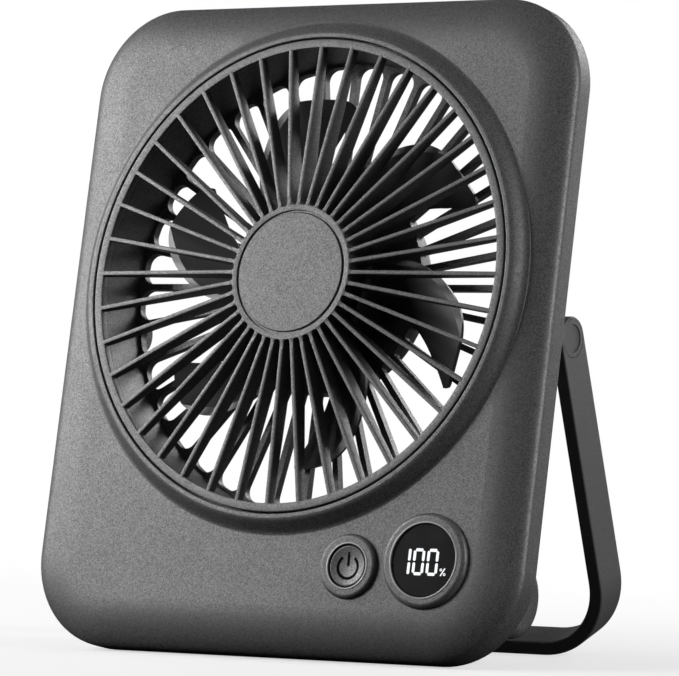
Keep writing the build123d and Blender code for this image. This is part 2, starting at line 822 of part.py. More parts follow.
with BuildPart() as front_bearing:
    with BuildSketch(case_level(bearing_front + bearing_length)):
        Circle(bearing_radius)
        Circle(bearing_bore, mode=Mode.SUBTRACT)
    extrude(amount=bearing_length)
finish(front_bearing, "front_bearing")

with BuildPart() as rear_bearing:
    with BuildSketch(case_level(bearing_back)):
        Circle(bearing_radius)
        Circle(bearing_bore, mode=Mode.SUBTRACT)
    extrude(amount=bearing_length)
finish(rear_bearing, "rear_bearing")

with BuildPart() as motor_board:
    with BuildSketch(case_level(motor_board_depth + motor_board_thickness)):
        Circle(motor_board_radius)
        Circle(sleeve_radius + press_gap, mode=Mode.SUBTRACT)
    extrude(amount=motor_board_thickness)
finish(motor_board, "motor_board")

# Controls: dished button with its skirt and stem, switch, display window and module
with BuildPart() as power_button:
    with BuildSketch(case_side(button_offset, button_drop)):
        with BuildLine():
            button_top = -button_front
            flat = button_radius - button_edge
            TangentArc((0, button_top - button_dish), (flat, button_top), tangent=(1, 0))
            TangentArc((flat, button_top), (button_radius, button_top - button_edge), tangent=(1, 0))
            Polyline(
                (button_radius, button_top - button_edge),
                (button_radius, -skirt_front),
                (button_radius + button_skirt, -skirt_front),
                (button_radius + button_skirt, -skirt_front - button_skirt_height),
                (button_stem_radius, -skirt_front - button_skirt_height),
                (button_stem_radius, -plunger_front),
                (0, -plunger_front),
                (0, button_top - button_dish),
            )
        make_face()
    revolve(axis=Axis(case_plane.from_local_coords((button_offset, -button_drop, 0)), case_plane.z_dir))
finish(power_button, "power_button")

with BuildPart() as switch_plunger:
    with BuildSketch(case_level(switch_front + plunger_sink)):
        with Locations((button_offset, -button_drop)):
            Circle(plunger_radius)
    extrude(amount=plunger_sink + plunger_rise)
finish(switch_plunger, "switch_plunger")

with BuildPart() as switch_body:
    with BuildSketch(case_level(board_depth)):
        with Locations((button_offset, -button_drop)):
            Rectangle(switch_size, switch_size)
    extrude(amount=switch_height)
    with BuildSketch(case_level(switch_front)):
        with Locations((button_offset, -button_drop)):
            Circle(plunger_radius + plunger_clearance)
    extrude(amount=-plunger_sink - button_travel - plunger_floor_gap, mode=Mode.SUBTRACT)
finish(switch_body, "switch_body")

with BuildPart() as display_lens:
    with BuildSketch(case_level(lens_front + lens_thickness)):
        with Locations((display_offset, -display_drop)):
            Circle(lens_radius)
    extrude(amount=lens_thickness)
    fillet(display_lens.edges().sort_by(fan_axis)[-1], radius=lens_edge)
finish(display_lens, "display_lens")

with BuildPart() as display_module:
    with BuildSketch(case_level(board_depth)):
        with Locations((display_offset, -display_drop)):
            Rectangle(module_length, module_height)
    extrude(amount=board_depth - lens_front - lens_thickness - module_gap)
finish(display_module, "display_module")

# Boards and charging port
with BuildPart() as main_board:
    with BuildSketch(case_level(board_back)):
        with Locations((board_middle, -board_drop)):
            RectangleRounded(board_length, board_height, board_corner)
        with Locations(*board_post_places()):
            Circle(post_screw_radius + screw_gap, mode=Mode.SUBTRACT)
    extrude(amount=board_thickness)
finish(main_board, "main_board")

with BuildPart() as charge_board:
    with BuildSketch(case_level(charge_board_depth)):
        with Locations((-port_offset, -port_drop)):
            RectangleRounded(charge_board_length, charge_board_height, board_corner)
        with Locations(*charge_post_places()):
            Circle(post_screw_radius + screw_gap, mode=Mode.SUBTRACT)
    extrude(amount=board_thickness)
finish(charge_board, "charge_board")

with BuildPart() as charge_port:
    with BuildSketch(case_level(charge_board_depth + port_length)):
        with Locations((-port_offset, -port_drop)):
            SlotOverall(port_width, port_height)
    extrude(amount=port_length)
    with BuildSketch(case_level(charge_board_depth + port_length)):
        with Locations((-port_offset, -port_drop)):
            SlotOverall(port_width - 2 * port_shell, port_height - 2 * port_shell)
            Rectangle(port_tongue_width, port_tongue_height, mode=Mode.SUBTRACT)
    extrude(amount=port_length - port_back, mode=Mode.SUBTRACT)
finish(charge_port, "charge_port")

# Cells in line, with a contact plate at each end and one between them
for side, name in ((1, "battery_cell_right"), (-1, "battery_cell_left")):
    start = contact_thickness / 2 if side == 1 else -contact_thickness / 2 - cell_length
    with BuildPart() as battery_cell:
        with BuildSketch(side_level(1, start, cell_drop, cell_depth)):
            Circle(cell_radius)
        extrude(amount=cell_length - cell_nub_height)
        with BuildSketch(side_level(1, start, cell_drop, cell_depth)):
            Circle(cell_nub_radius)
        extrude(amount=cell_length)
    finish(battery_cell, name)

with BuildPart() as battery_contacts:
    for start in (-cell_length - contact_thickness, 0, cell_length + contact_thickness):
        with BuildSketch(side_level(1, start - contact_thickness / 2, cell_drop, cell_depth)):
            Circle(contact_radius)
        extrude(amount=contact_thickness)
finish(battery_contacts, "battery_contacts")

# Stand: a flat strap bent to a U, with round ends at the pivots
with BuildPart() as stand_bracket:
    with BuildSketch(stand_plane.offset(-arm_width / 2)):
        for half, length, corner, mode in (
            (stand_half_width, stand_length, stand_corner, Mode.ADD),
            (arm_inner, stand_length - stand_thickness, stand_corner - stand_thickness, Mode.SUBTRACT),
        ):
            with BuildLine():
                FilletPolyline((-half, 0), (-half, -length), (half, -length), (half, 0), radius=corner)
                Line((half, 0), (-half, 0))
            make_face(mode=mode)
    extrude(amount=arm_width)
    for side in (1, -1):
        with BuildSketch(stand_side(side, arm_inner)):
            Circle(arm_width / 2)
        extrude(amount=stand_thickness)
    stand_front = Axis(stand_plane.origin, stand_plane.z_dir)
    outline_edges = stand_bracket.edges().filter_by(Axis.X, reverse=True)
    outline_edges = outline_edges.filter_by(stand_front, reverse=True)
    bar_edges = stand_bracket.edges().filter_by(Axis.X).sort_by(Axis.Z)[:4]
    fillet(outline_edges + bar_edges, radius=stand_edge)
    for side in (1, -1):
        with BuildSketch(stand_side(side, arm_inner - overrun)):
            Circle(pin_radius + pin_clearance)
        extrude(amount=stand_thickness + 2 * overrun, mode=Mode.SUBTRACT)
        with BuildSketch(stand_side(side, head_seat)):
            Circle(pin_head_radius + head_clearance)
        extrude(amount=stand_thickness, mode=Mode.SUBTRACT)
        with BuildSketch(stand_side(side, stand_half_width - pivot_cap_height)):
            Circle(pivot_cap_radius + pivot_cap_fit)
        extrude(amount=stand_thickness, mode=Mode.SUBTRACT)
finish(stand_bracket, "stand_bracket")

for side, place in ((1, "right"), (-1, "left")):
    with BuildPart() as pivot_pin:
        with BuildSketch(side_level(side, boss_face - pin_grip, pivot_drop, pivot_depth)):
            Circle(pin_radius)
        extrude(amount=head_seat + head_clearance - boss_face + pin_grip)
        with BuildSketch(side_level(side, head_seat + head_clearance, pivot_drop, pivot_depth)):
            Circle(pin_head_radius)
        extrude(amount=pin_head_height)
    finish(pivot_pin, f"pivot_pin_{place}")

    with BuildPart() as friction_washer:
        with BuildSketch(side_level(side, boss_face, pivot_drop, pivot_depth)):
            Circle(pin_boss_radius)
            Circle(pin_radius + pin_clearance, mode=Mode.SUBTRACT)
        extrude(amount=washer_thickness)
    finish(friction_washer, f"friction_washer_{place}")

    with BuildPart() as pivot_cap:
        with BuildSketch(stand_side(side, stand_half_width - pivot_cap_height)):
            Circle(pivot_cap_radius)
        extrude(amount=pivot_cap_height)
        fillet(pivot_cap.edges().sort_by(Axis((0, 0, 0), (side, 0, 0)))[-1], radius=pivot_cap_edge)
        with BuildSketch(stand_side(side, stand_half_width - pivot_cap_dish)):
            Circle(pivot_cap_radius * pivot_cap_dish_share)
        extrude(amount=pivot_cap_height, mode=Mode.SUBTRACT)
    finish(pivot_cap, f"pivot_cap_{place}")

# Screws that close the case, and those that hold the boards
with BuildPart() as case_screws:
    with BuildSketch(case_level(screw_seat + screw_head_height)):
        with Locations(*case_screw_places()):
            Circle(screw_head_radius)
    extrude(amount=screw_head_height)
    with BuildSketch(case_level(screw_seat)):
        with Locations(*case_screw_places()):
            Circle(screw_radius)
    extrude(amount=screw_web + screw_bite - screw_tip_gap)
finish(case_screws, "case_screws")

with BuildPart() as board_screws:
    with BuildSketch(case_level(board_back + post_screw_head_height)):
        with Locations(*board_post_places()):
            Circle(post_screw_head)
    extrude(amount=post_screw_head_height)
    with BuildSketch(case_level(board_back)):
        with Locations(*board_post_places()):
            Circle(post_screw_radius)
    extrude(amount=board_thickness + post_screw_bite - screw_tip_gap)
finish(board_screws, "board_screws")

with BuildPart() as charge_screws:
    with BuildSketch(case_level(charge_board_depth - board_thickness)):
        with Locations(*charge_post_places()):
            Circle(post_screw_head)
    extrude(amount=post_screw_head_height)
    with BuildSketch(case_level(charge_board_depth - board_thickness)):
        with Locations(*charge_post_places()):
            Circle(post_screw_radius)
    extrude(amount=-board_thickness - post_screw_bite + screw_tip_gap)
finish(charge_screws, "charge_screws")
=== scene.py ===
"""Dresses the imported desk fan: finishes, fine grille, lit digits, studio and camera.

Every piece is in metres in the part's own frame: +X right, +Y back, +Z up, table at Z = 0. Places on
the case are given in its own leaning frame: x right, v up the face, w out of the front, from the
grille's centre.
"""
from __future__ import annotations

import json
import logging
import math
from dataclasses import dataclass, field
from enum import Enum
from typing import Any, Sequence

import bmesh
import bpy
from mathutils import Matrix, Vector

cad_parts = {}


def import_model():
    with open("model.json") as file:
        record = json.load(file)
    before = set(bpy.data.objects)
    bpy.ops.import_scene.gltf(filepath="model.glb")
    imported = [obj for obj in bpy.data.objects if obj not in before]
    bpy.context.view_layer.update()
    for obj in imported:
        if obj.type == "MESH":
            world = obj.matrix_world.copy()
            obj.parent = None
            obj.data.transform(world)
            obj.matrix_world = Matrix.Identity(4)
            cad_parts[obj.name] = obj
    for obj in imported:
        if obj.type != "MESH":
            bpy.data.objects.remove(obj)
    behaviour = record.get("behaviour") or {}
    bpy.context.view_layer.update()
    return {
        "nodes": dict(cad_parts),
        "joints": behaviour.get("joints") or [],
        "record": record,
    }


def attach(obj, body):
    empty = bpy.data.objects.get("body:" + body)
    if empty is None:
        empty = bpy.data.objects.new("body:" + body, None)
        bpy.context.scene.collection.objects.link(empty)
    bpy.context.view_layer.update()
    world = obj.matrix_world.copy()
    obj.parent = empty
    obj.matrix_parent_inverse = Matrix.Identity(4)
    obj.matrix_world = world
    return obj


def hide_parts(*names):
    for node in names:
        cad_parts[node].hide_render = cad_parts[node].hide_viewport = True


LOG = logging.getLogger("desk_fan")
MM = 0.001
MERGE_REACH = 1e-7
FLAT_REACH = 1e-8
SHARP_ANGLE = math.radians(32)
Colour = tuple[float, float, float]
Corner = tuple[float, float, float]
Flat = tuple[float, float]
WHITE: Colour = (1.0, 1.0, 1.0)


class Slot(str, Enum):
    """Material slots of the record."""

    CASE = "case_plastic"
    STAND = "stand_plastic"
    GRILLE = "grille_plastic"
    IMPELLER = "impeller_plastic"
    BUTTON = "button_plastic"
    LENS = "lens_plastic"
    MODULE = "module_plastic"
    BOARD = "board"
    STEEL = "steel"
    LAMINATION = "lamination"
    MAGNET = "magnet"
    COPPER = "copper"
    BRASS = "sleeve_brass"
    BRONZE = "sintered_bronze"
    CELL = "cell_wrap"
    WASHER = "washer_plastic"


class Body(str, Enum):
    """Bodies that pieces ride on."""

    CASE = "case"
    BUTTON = "button"


class Wire:
    """A node's value that takes part in Python sums by adding Math nodes."""

    def __init__(self, sheet: "NodeSheet", socket: bpy.types.NodeSocket) -> None:
        """Keeps the sheet that holds the node and the socket that gives the value."""
        self.sheet = sheet
        self.socket = socket

    def maths(self, operation: str, first: Any, second: Any) -> "Wire":
        """Adds one Math node.

        Args:
            operation: Blender's name of the sum.
            first: a wire or a number.
            second: a wire or a number.

        Returns:
            The wire of its result.
        """
        made = self.sheet.node("ShaderNodeMath", {"operation": operation}, {0: first, 1: second})
        return self.sheet.wire(made)

    def __add__(self, other: Any) -> "Wire":
        """Sum."""
        return self.maths("ADD", self, other)

    def __radd__(self, other: Any) -> "Wire":
        """Sum, number first."""
        return self.maths("ADD", other, self)

    def __sub__(self, other: Any) -> "Wire":
        """Difference."""
        return self.maths("SUBTRACT", self, other)

    def __rsub__(self, other: Any) -> "Wire":
        """Difference, number first."""
        return self.maths("SUBTRACT", other, self)

    def __mul__(self, other: Any) -> "Wire":
        """Product."""
        return self.maths("MULTIPLY", self, other)

    def __rmul__(self, other: Any) -> "Wire":
        """Product, number first."""
        return self.maths("MULTIPLY", other, self)

    def __truediv__(self, other: Any) -> "Wire":
        """Quotient."""
        return self.maths("DIVIDE", self, other)

    def wave(self) -> "Wire":
        """Sine, brought to 0 to 1."""
        return self.maths("SINE", self, 0.0) * 0.5 + 0.5

    def root(self) -> "Wire":
        """Square root."""
        return self.maths("SQRT", self, 0.0)

    def least(self, other: Any) -> "Wire":
        """The smaller of two values."""
        return self.maths("MINIMUM", self, other)

    def most(self, other: Any) -> "Wire":
        """The larger of two values."""
        return self.maths("MAXIMUM", self, other)


class NodeSheet:
    """A node tree, with one method that adds any node."""

    def __init__(self, tree: bpy.types.NodeTree) -> None:
        """Keeps the tree."""
        self.tree = tree

    def node(
        self, kind: str, settings: dict | None = None, sockets: dict | None = None
    ) -> bpy.types.Node:
        """Adds any node.

        Args:
            kind: the node's type.
            settings: its own properties.
            sockets: values, wires or sockets for its inputs, by name or place.

        Returns:
            The node.
        """
        made = self.tree.nodes.new(kind)
        for key, value in (settings or {}).items():
            setattr(made, key, value)
        for key, value in (sockets or {}).items():
            self.feed(made, key, value)
        return made

    def feed(self, node: bpy.types.Node, key: str | int, value: Any) -> None:
        """Sets or links one input of a node.

        Args:
            node: the node.
            key: its input, by name or place.
            value: a wire or a socket to link, or a value to set.
        """
        if isinstance(value, Wire):
            value = value.socket
        if isinstance(value, bpy.types.NodeSocket):
            self.tree.links.new(value, node.inputs[key])
        else:
            node.inputs[key].default_value = value

    def wire(self, node: bpy.types.Node, key: str | int = 0) -> Wire:
        """Wraps a node's output."""
        return Wire(self, node.outputs[key])


class ShaderSheet(NodeSheet):
    """One material's node sheet, emptied and given a Principled shader."""

    def __init__(self, name: str) -> None:
        """Makes the material and its two end nodes.

        Args:
            name: the material's name.
        """
        self.material = bpy.data.materials.new(name)
        self.material.use_nodes = True
        super().__init__(self.material.node_tree)
        self.tree.nodes.clear()
        self.output = self.node("ShaderNodeOutputMaterial")
        self.shader = self.node("ShaderNodeBsdfPrincipled")
        self.tree.links.new(self.shader.outputs[0], self.output.inputs["Surface"])
        self.place = self.node("ShaderNodeTexCoord").outputs["Object"]

    def noise(self, cell: float, detail: float = 2.0) -> Wire:
        """Noise on the piece's own coordinates.

        Args:
            cell: size of its grains, in metres.
            detail: number of finer layers.

        Returns:
            Its value, from about 0 to 1.
        """
        sockets = {"Vector": self.place, "Scale": 1.0 / cell, "Detail": detail}
        return self.wire(self.node("ShaderNodeTexNoise", None, sockets))

    def cells(self, size: float) -> tuple[Wire, Wire]:
        """Small cells that fill the surface.

        Args:
            size: width of a cell, in metres.

        Returns:
            A chance value from 0 to 1 for each cell, and the distance from its centre as a share of
            its width.
        """
        spots = self.node("ShaderNodeTexVoronoi", None, {"Vector": self.place, "Scale": 1.0 / size})
        parts = self.node("ShaderNodeSeparateColor", None, {0: spots.outputs["Color"]})
        return self.wire(parts), self.wire(spots, "Distance")

    def along(self, direction: Vector, start: Vector) -> Wire:
        """Distance along a direction.

        Args:
            direction: the direction, of length 1.
            start: where the distance is 0, in metres.

        Returns:
            The distance, in metres.
        """
        shift = self.node("ShaderNodeVectorMath", {"operation": "SUBTRACT"}, {0: self.place, 1: start})
        sockets = {0: shift.outputs[0], 1: direction}
        dot = self.node("ShaderNodeVectorMath", {"operation": "DOT_PRODUCT"}, sockets)
        return self.wire(dot, "Value")

    def step(self, value: Wire, low: float, high: float) -> Wire:
        """Smooth rise from 0 to 1 as a value goes from low to high."""
        sockets = {"Value": value, "From Min": low, "From Max": high}
        return self.wire(self.node("ShaderNodeMapRange", {"interpolation_type": "SMOOTHSTEP"}, sockets))

    def tint(self, low: Colour, high: Colour, share: Wire) -> bpy.types.NodeSocket:
        """Mixes two colours by a wire."""
        sockets = {0: share, 6: (*low, 1.0), 7: (*high, 1.0)}
        return self.node("ShaderNodeMix", {"data_type": "RGBA"}, sockets).outputs[2]

    def bump(self, height: Wire, distance: float, strength: float) -> bpy.types.NodeSocket:
        """Turns a height into a normal."""
        sockets = {"Height": height, "Distance": distance, "Strength": strength}
        return self.node("ShaderNodeBump", None, sockets).outputs["Normal"]

    def set(self, **values: Any) -> None:
        """Sets or links inputs of the Principled shader, with _ for a space in the name."""
        for key, value in values.items():
            self.feed(self.shader, key.replace("_", " ").title().replace("Ior", "IOR"), value)


class GeometrySheet(NodeSheet):
    """A Geometry Nodes tree with named sizes."""

    def __init__(self, name: str) -> None:
        """Makes the tree with its two ends.

        Args:
            name: the tree's name.
        """
        super().__init__(bpy.data.node_groups.new(name, "GeometryNodeTree"))
        for way in ("INPUT", "OUTPUT"):
            self.tree.interface.new_socket("Geometry", in_out=way, socket_type="NodeSocketGeometry")
        self.source = self.node("NodeGroupInput")
        self.sink = self.node("NodeGroupOutput")

    def size(self, name: str, kind: str = "Float") -> Wire:
        """Adds a named input and gives its wire."""
        self.tree.interface.new_socket(name, in_out="INPUT", socket_type=f"NodeSocket{kind}")
        return self.wire(self.source, name)

    def close(self, shape: bpy.types.NodeSocket, material: bpy.types.Material) -> None:
        """Makes instances real, sets the material and ends the tree.

        Args:
            shape: the finished geometry.
            material: its finish.
        """
        real = self.node("GeometryNodeRealizeInstances", None, {0: shape})
        painted = self.node("GeometryNodeSetMaterial", None, {0: real.outputs[0], "Material": material})
        self.feed(self.sink, 0, painted.outputs[0])

    def apply(self, piece: bpy.types.Object, sizes: dict[str, Any]) -> None:
        """Runs the tree on a piece and leaves it a plain mesh.

        Args:
            piece: the object whose mesh the tree starts from.
            sizes: values for the named inputs.
        """
        modifier = piece.modifiers.new(self.tree.name, "NODES")
        modifier.node_group = self.tree
        for socket in self.tree.interface.items_tree:
            if socket.in_out == "INPUT" and socket.name in sizes:
                modifier[socket.identifier] = sizes[socket.name]
        evaluated = piece.evaluated_get(bpy.context.evaluated_depsgraph_get())
        mesh = bpy.data.meshes.new_from_object(evaluated)
        piece.modifiers.clear()
        piece.data = mesh


def shade(colour: Colour, share: float) -> Colour:
    """A colour at a share of its brightness."""
    red, green, blue = colour
    return red * share, green * share, blue * share


@dataclass(frozen=True)
class Finish:
    """A named finish. Each kind has its own way to paint."""

    name: str

    def build(self) -> bpy.types.Material:
        """Makes the material.

        Returns:
            The painted material.
        """
        sheet = ShaderSheet(self.name)
        self.paint(sheet)
        return sheet.material

    def paint(self, sheet: ShaderSheet) -> None:
        """Lays the finish on a material's sheet."""
        raise NotImplementedError


@dataclass(frozen=True)
class GrainedPlastic(Finish):
    """Moulded plastic with a spark-eroded grain, each grain with its own tone and gloss."""

    colour: Colour
    roughness: float = 0.46
    grain: float = 0.23 * MM
    height: float = 0.04 * MM
    strength: float = 0.35
    mottle: float = 0.75
    gloss_spread: float = 0.26
    gloss_middle: float = 0.55
    shine: float = 0.6
    grain_share: float = 0.9
    patch_grains: float = 60.0
    patch_layers: float = 1.0
    patch_share: float = 0.1
    patch_gloss_share: float = 0.2

    def paint(self, sheet: ShaderSheet) -> None:
        """Lays the grains' tone, gloss and relief, with broad patches over them.

        Args:
            sheet: the material's sheet.
        """
        spot, centre = sheet.cells(self.grain)
        broad = sheet.noise(self.grain * self.patch_grains, self.patch_layers)
        low = shade(self.colour, 1 - self.mottle)
        high = shade(self.colour, 1 + self.mottle)
        sheet.set(base_color=sheet.tint(low, high, spot * self.grain_share + broad * self.patch_share))
        gloss = self.gloss_middle - spot * self.grain_share - broad * self.patch_gloss_share
        sheet.set(roughness=self.roughness + self.gloss_spread * gloss)
        sheet.set(specular_ior_level=self.shine)
        sheet.set(normal=sheet.bump(1.0 - centre, self.height, self.strength))


@dataclass(frozen=True)
class SatinPlastic(Finish):
    """Smooth moulded plastic with faint flow marks."""

    colour: Colour
    roughness: float = 0.36
    gloss_spread: float = 0.12
    shine: float = 0.6
    flow: float = 14 * MM
    flow_layers: float = 3.0
    dark_share: float = 0.86
    pore: float = 0.3 * MM
    pore_height: float = 0.01 * MM
    pore_strength: float = 0.25

    def paint(self, sheet: ShaderSheet) -> None:
        """Lays the flow marks and the fine pores.

        Args:
            sheet: the material's sheet.
        """
        flow = sheet.noise(self.flow, self.flow_layers)
        pores = sheet.noise(self.pore)
        sheet.set(base_color=sheet.tint(shade(self.colour, self.dark_share), self.colour, flow))
        sheet.set(roughness=self.roughness - self.gloss_spread / 2 + flow * self.gloss_spread)
        sheet.set(specular_ior_level=self.shine)
        sheet.set(normal=sheet.bump(pores, self.pore_height, self.pore_strength))


@dataclass(frozen=True)
class Metal(Finish):
    """Metal with fine turning or drawing marks."""

    colour: Colour
    roughness: float = 0.32
    gloss_spread: float = 0.12
    grain: float = 0.25 * MM
    layers: float = 3.0
    dark_share: float = 0.8
    height: float = 0.01 * MM
    strength: float = 0.2

    def paint(self, sheet: ShaderSheet) -> None:
        """Lays the marks' tone, gloss and relief.

        Args:
            sheet: the material's sheet.
        """
        marks = sheet.noise(self.grain, self.layers)
        tone = sheet.tint(shade(self.colour, self.dark_share), self.colour, marks)
        sheet.set(base_color=tone, metallic=1.0)
        sheet.set(roughness=self.roughness - self.gloss_spread / 2 + marks * self.gloss_spread)
        sheet.set(normal=sheet.bump(marks, self.height, self.strength))


@dataclass(frozen=True)
class Layered(Finish):
    """Metal that shows as even layers or turns of wire along one direction."""

    colour: Colour
    gap: Colour
    direction: Vector
    start: Vector
    pitch: float = 0.35 * MM
    metallic: float = 0.9
    gap_roughness: float = 0.42
    polish: float = 0.12
    relief_share: float = 1 / 3
    strength: float = 0.6

    def paint(self, sheet: ShaderSheet) -> None:
        """Lays the layers and the dull gaps between them.

        Args:
            sheet: the material's sheet.
        """
        turns = (sheet.along(self.direction, self.start) * (math.tau / self.pitch)).wave()
        sheet.set(base_color=sheet.tint(self.gap, self.colour, turns), metallic=self.metallic)
        sheet.set(roughness=self.gap_roughness - turns * self.polish)
        sheet.set(normal=sheet.bump(turns, self.pitch * self.relief_share, self.strength))


@dataclass(frozen=True)
class CircuitBoard(Finish):
    """Solder mask over copper tracks."""

    mask: Colour = (0.012, 0.055, 0.03)
    track: Colour = (0.03, 0.11, 0.06)
    pitch: float = 1.6 * MM
    stray: float = 0.35
    track_edge: Flat = (0.08, 0.14)
    roughness: float = 0.34
    polish: float = 0.08
    height: float = 0.03 * MM
    strength: float = 0.5

    def paint(self, sheet: ShaderSheet) -> None:
        """Lays the tracks along the edges of a loose net.

        Args:
            sheet: the material's sheet.
        """
        sockets = {"Vector": sheet.place, "Scale": 1.0 / self.pitch, "Randomness": self.stray}
        net = sheet.node("ShaderNodeTexVoronoi", {"feature": "DISTANCE_TO_EDGE"}, sockets)
        tracks = 1.0 - sheet.step(sheet.wire(net), *self.track_edge)
        sheet.set(base_color=sheet.tint(self.mask, self.track, tracks))
        sheet.set(roughness=self.roughness - tracks * self.polish)
        sheet.set(normal=sheet.bump(tracks, self.height, self.strength))


@dataclass(frozen=True)
class CellWrap(Finish):
    """Shrunk sleeve of a cell, darker in bands where it has drawn in."""

    colour: Colour = (0.03, 0.16, 0.22)
    band: Colour = (0.02, 0.1, 0.14)
    pitch: float = 22 * MM
    band_edge: Flat = (0.6, 0.95)
    crease: float = 4 * MM
    crease_layers: float = 4.0
    crease_height: float = 0.08 * MM
    crease_strength: float = 0.3
    roughness: float = 0.28
    gloss_spread: float = 0.14

    def paint(self, sheet: ShaderSheet) -> None:
        """Lays the bands and the creases.

        Args:
            sheet: the material's sheet.
        """
        along = sheet.along(Vector((1, 0, 0)), Vector((0, 0, 0)))
        bands = sheet.step((along * (math.tau / self.pitch)).wave(), *self.band_edge)
        creases = sheet.noise(self.crease, self.crease_layers)
        sheet.set(base_color=sheet.tint(self.colour, self.band, bands))
        sheet.set(roughness=self.roughness + creases * self.gloss_spread)
        sheet.set(normal=sheet.bump(creases, self.crease_height, self.crease_strength))


@dataclass(frozen=True)
class SmokedWindow(Finish):
    """Polished black window of the display, lighter in random patches: a painted reflection."""

    colour: Colour = (0.008, 0.008, 0.009)
    painted_reflection_haze: float = 7 * MM
    painted_reflection_haze_layers: float = 1.0
    light_share: float = 1.6
    roughness: float = 0.16
    gloss_spread: float = 0.06
    shine: float = 0.14

    def paint(self, sheet: ShaderSheet) -> None:
        """Lays lighter patches over the black, a painted reflection.

        Args:
            sheet: the material's sheet.
        """
        # Lighter patches in the base colour: painted reflection on the window.
        painted_reflection_haze = sheet.noise(self.painted_reflection_haze, self.painted_reflection_haze_layers)
        sheet.set(base_color=sheet.tint(self.colour, shade(self.colour, self.light_share), painted_reflection_haze))
        sheet.set(roughness=self.roughness + painted_reflection_haze * self.gloss_spread, specular_ior_level=self.shine)


@dataclass(frozen=True)
class Glow(Finish):
    """Lit segments of the display."""

    colour: Colour = (0.92, 0.96, 1.0)
    strength: float = 1.0
    unlit: Colour = (0.02, 0.02, 0.02)
    roughness: float = 0.4
    patch: float = 1.5 * MM
    patch_layers: float = 1.0

    def paint(self, sheet: ShaderSheet) -> None:
        """Lays the light, a little uneven.

        Args:
            sheet: the material's sheet.
        """
        spread = sheet.noise(self.patch, self.patch_layers)
        sheet.set(base_color=(*self.unlit, 1.0), roughness=self.roughness)
        sheet.set(emission_color=sheet.tint(self.colour, WHITE, spread))
        sheet.set(emission_strength=self.strength)


@dataclass(frozen=True)
class CaseFrame:
    """The leaning case's own frame: x right, v up the face, w out of the front."""

    origin: Vector
    lean: float = math.radians(12.45)

    def matrix(self) -> Matrix:
        """Turns places on the case, in metres, into the part's frame."""
        return Matrix.Translation(self.origin) @ Matrix.Rotation(math.pi / 2 - self.lean, 4, "X")

    def out(self) -> Vector:
        """Direction out of the front."""
        return self.matrix().to_3x3() @ Vector((0, 0, 1))


@dataclass(frozen=True)
class Collar:
    """A control's raised collar on the case: its centre, inner edge and top. Sizes in millimetres."""

    centre_x: float
    centre_v: float
    inner_radius: float
    top: float


DISPLAY_COLLAR = Collar(centre_x=49.5, centre_v=-75.81, inner_radius=9.8, top=-1.8)
BUTTON_COLLAR = Collar(centre_x=26.1, centre_v=-78.01, inner_radius=5.85, top=-2.1)


def angles(count: int) -> list[float]:
    """Even steps of a full turn."""
    return [math.tau * index / count for index in range(count)]


def lathe(shape: bmesh.types.BMesh, profile: Sequence[Flat], turns: int) -> None:
    """Adds a closed profile turned round the axis of its own frame.

    Args:
        shape: the mesh that takes the faces.
        profile: radius and w of each corner, in metres, as a closed loop.
        turns: number of steps round the axis.
    """
    rings = []
    for angle in angles(turns):
        rings.append([shape.verts.new((r * math.cos(angle), r * math.sin(angle), w)) for r, w in profile])
    count = len(profile)
    for index, ring in enumerate(rings):
        following = rings[(index + 1) % turns]
        for corner in range(count):
            after = (corner + 1) % count
            if profile[corner][0] or profile[after][0]:
                shape.faces.new((ring[corner], following[corner], following[after], ring[after]))


def rounded(profile: Sequence[Corner], steps: int = 4) -> list[Flat]:
    """Rounds the corners of a closed profile.

    Args:
        profile: radius, w and rounding of each corner, in millimetres.
        steps: faces in each rounded corner.

    Returns:
        The profile's points, in metres.
    """
    points: list[Flat] = []
    for index, (r, w, cut) in enumerate(profile):
        corner = Vector((r, w))
        if not cut:
            points.append((r * MM, w * MM))
            continue
        before = Vector(profile[index - 1][:2]) - corner
        after = Vector(profile[(index + 1) % len(profile)][:2]) - corner
        first = corner + before.normalized() * cut
        last = corner + after.normalized() * cut
        for step in range(steps + 1):
            share = step / steps
            place = first * (1 - share) ** 2 + corner * 2 * share * (1 - share) + last * share ** 2
            points.append((place.x * MM, place.y * MM))
    return points


def add_object(name: str, data: bpy.types.ID) -> bpy.types.Object:
    """Makes an object at the origin and links it to the scene.

    Args:
        name: the object's name.
        data: its mesh, lamp or camera.

    Returns:
        The object.
    """
    made = bpy.data.objects.new(name, data)
    bpy.context.scene.collection.objects.link(made)
    return made


def make_piece(
    name: str, shape: bmesh.types.BMesh, place: Matrix, material: bpy.types.Material
) -> bpy.types.Object:
    """Closes a mesh, puts it in place and makes it an object at the origin.

    Args:
        name: the piece's name.
        shape: its faces, used up here.
        place: where its own frame lies in the part's frame.
        material: its finish.

    Returns:
        The piece.
    """
    bmesh.ops.remove_doubles(shape, verts=shape.verts, dist=MERGE_REACH)
    bmesh.ops.dissolve_degenerate(shape, edges=shape.edges, dist=FLAT_REACH)
    bmesh.ops.recalc_face_normals(shape, faces=shape.faces)
    shape.transform(place)
    mesh = bpy.data.meshes.new(name)
    shape.to_mesh(mesh)
    shape.free()
    mesh.materials.append(material)
    return add_object(name, mesh)


def settle(piece: bpy.types.Object, body: Body, slot: Slot, *nodes: str) -> None:
    """Shades a finished piece and sets it on its body.

    Args:
        piece: the piece.
        body: what it moves with.
        slot: its material slot in the record; not used.
        nodes: the plain nodes that it stands for, if any.
    """
    piece.data.shade_smooth()
    piece.data.set_sharp_from_angle(angle=SHARP_ANGLE)
    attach(piece, body.value)
    if nodes:
        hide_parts(*nodes)
    LOG.info("%s: %d faces, rides on %s", piece.name, len(piece.data.polygons), body.value)


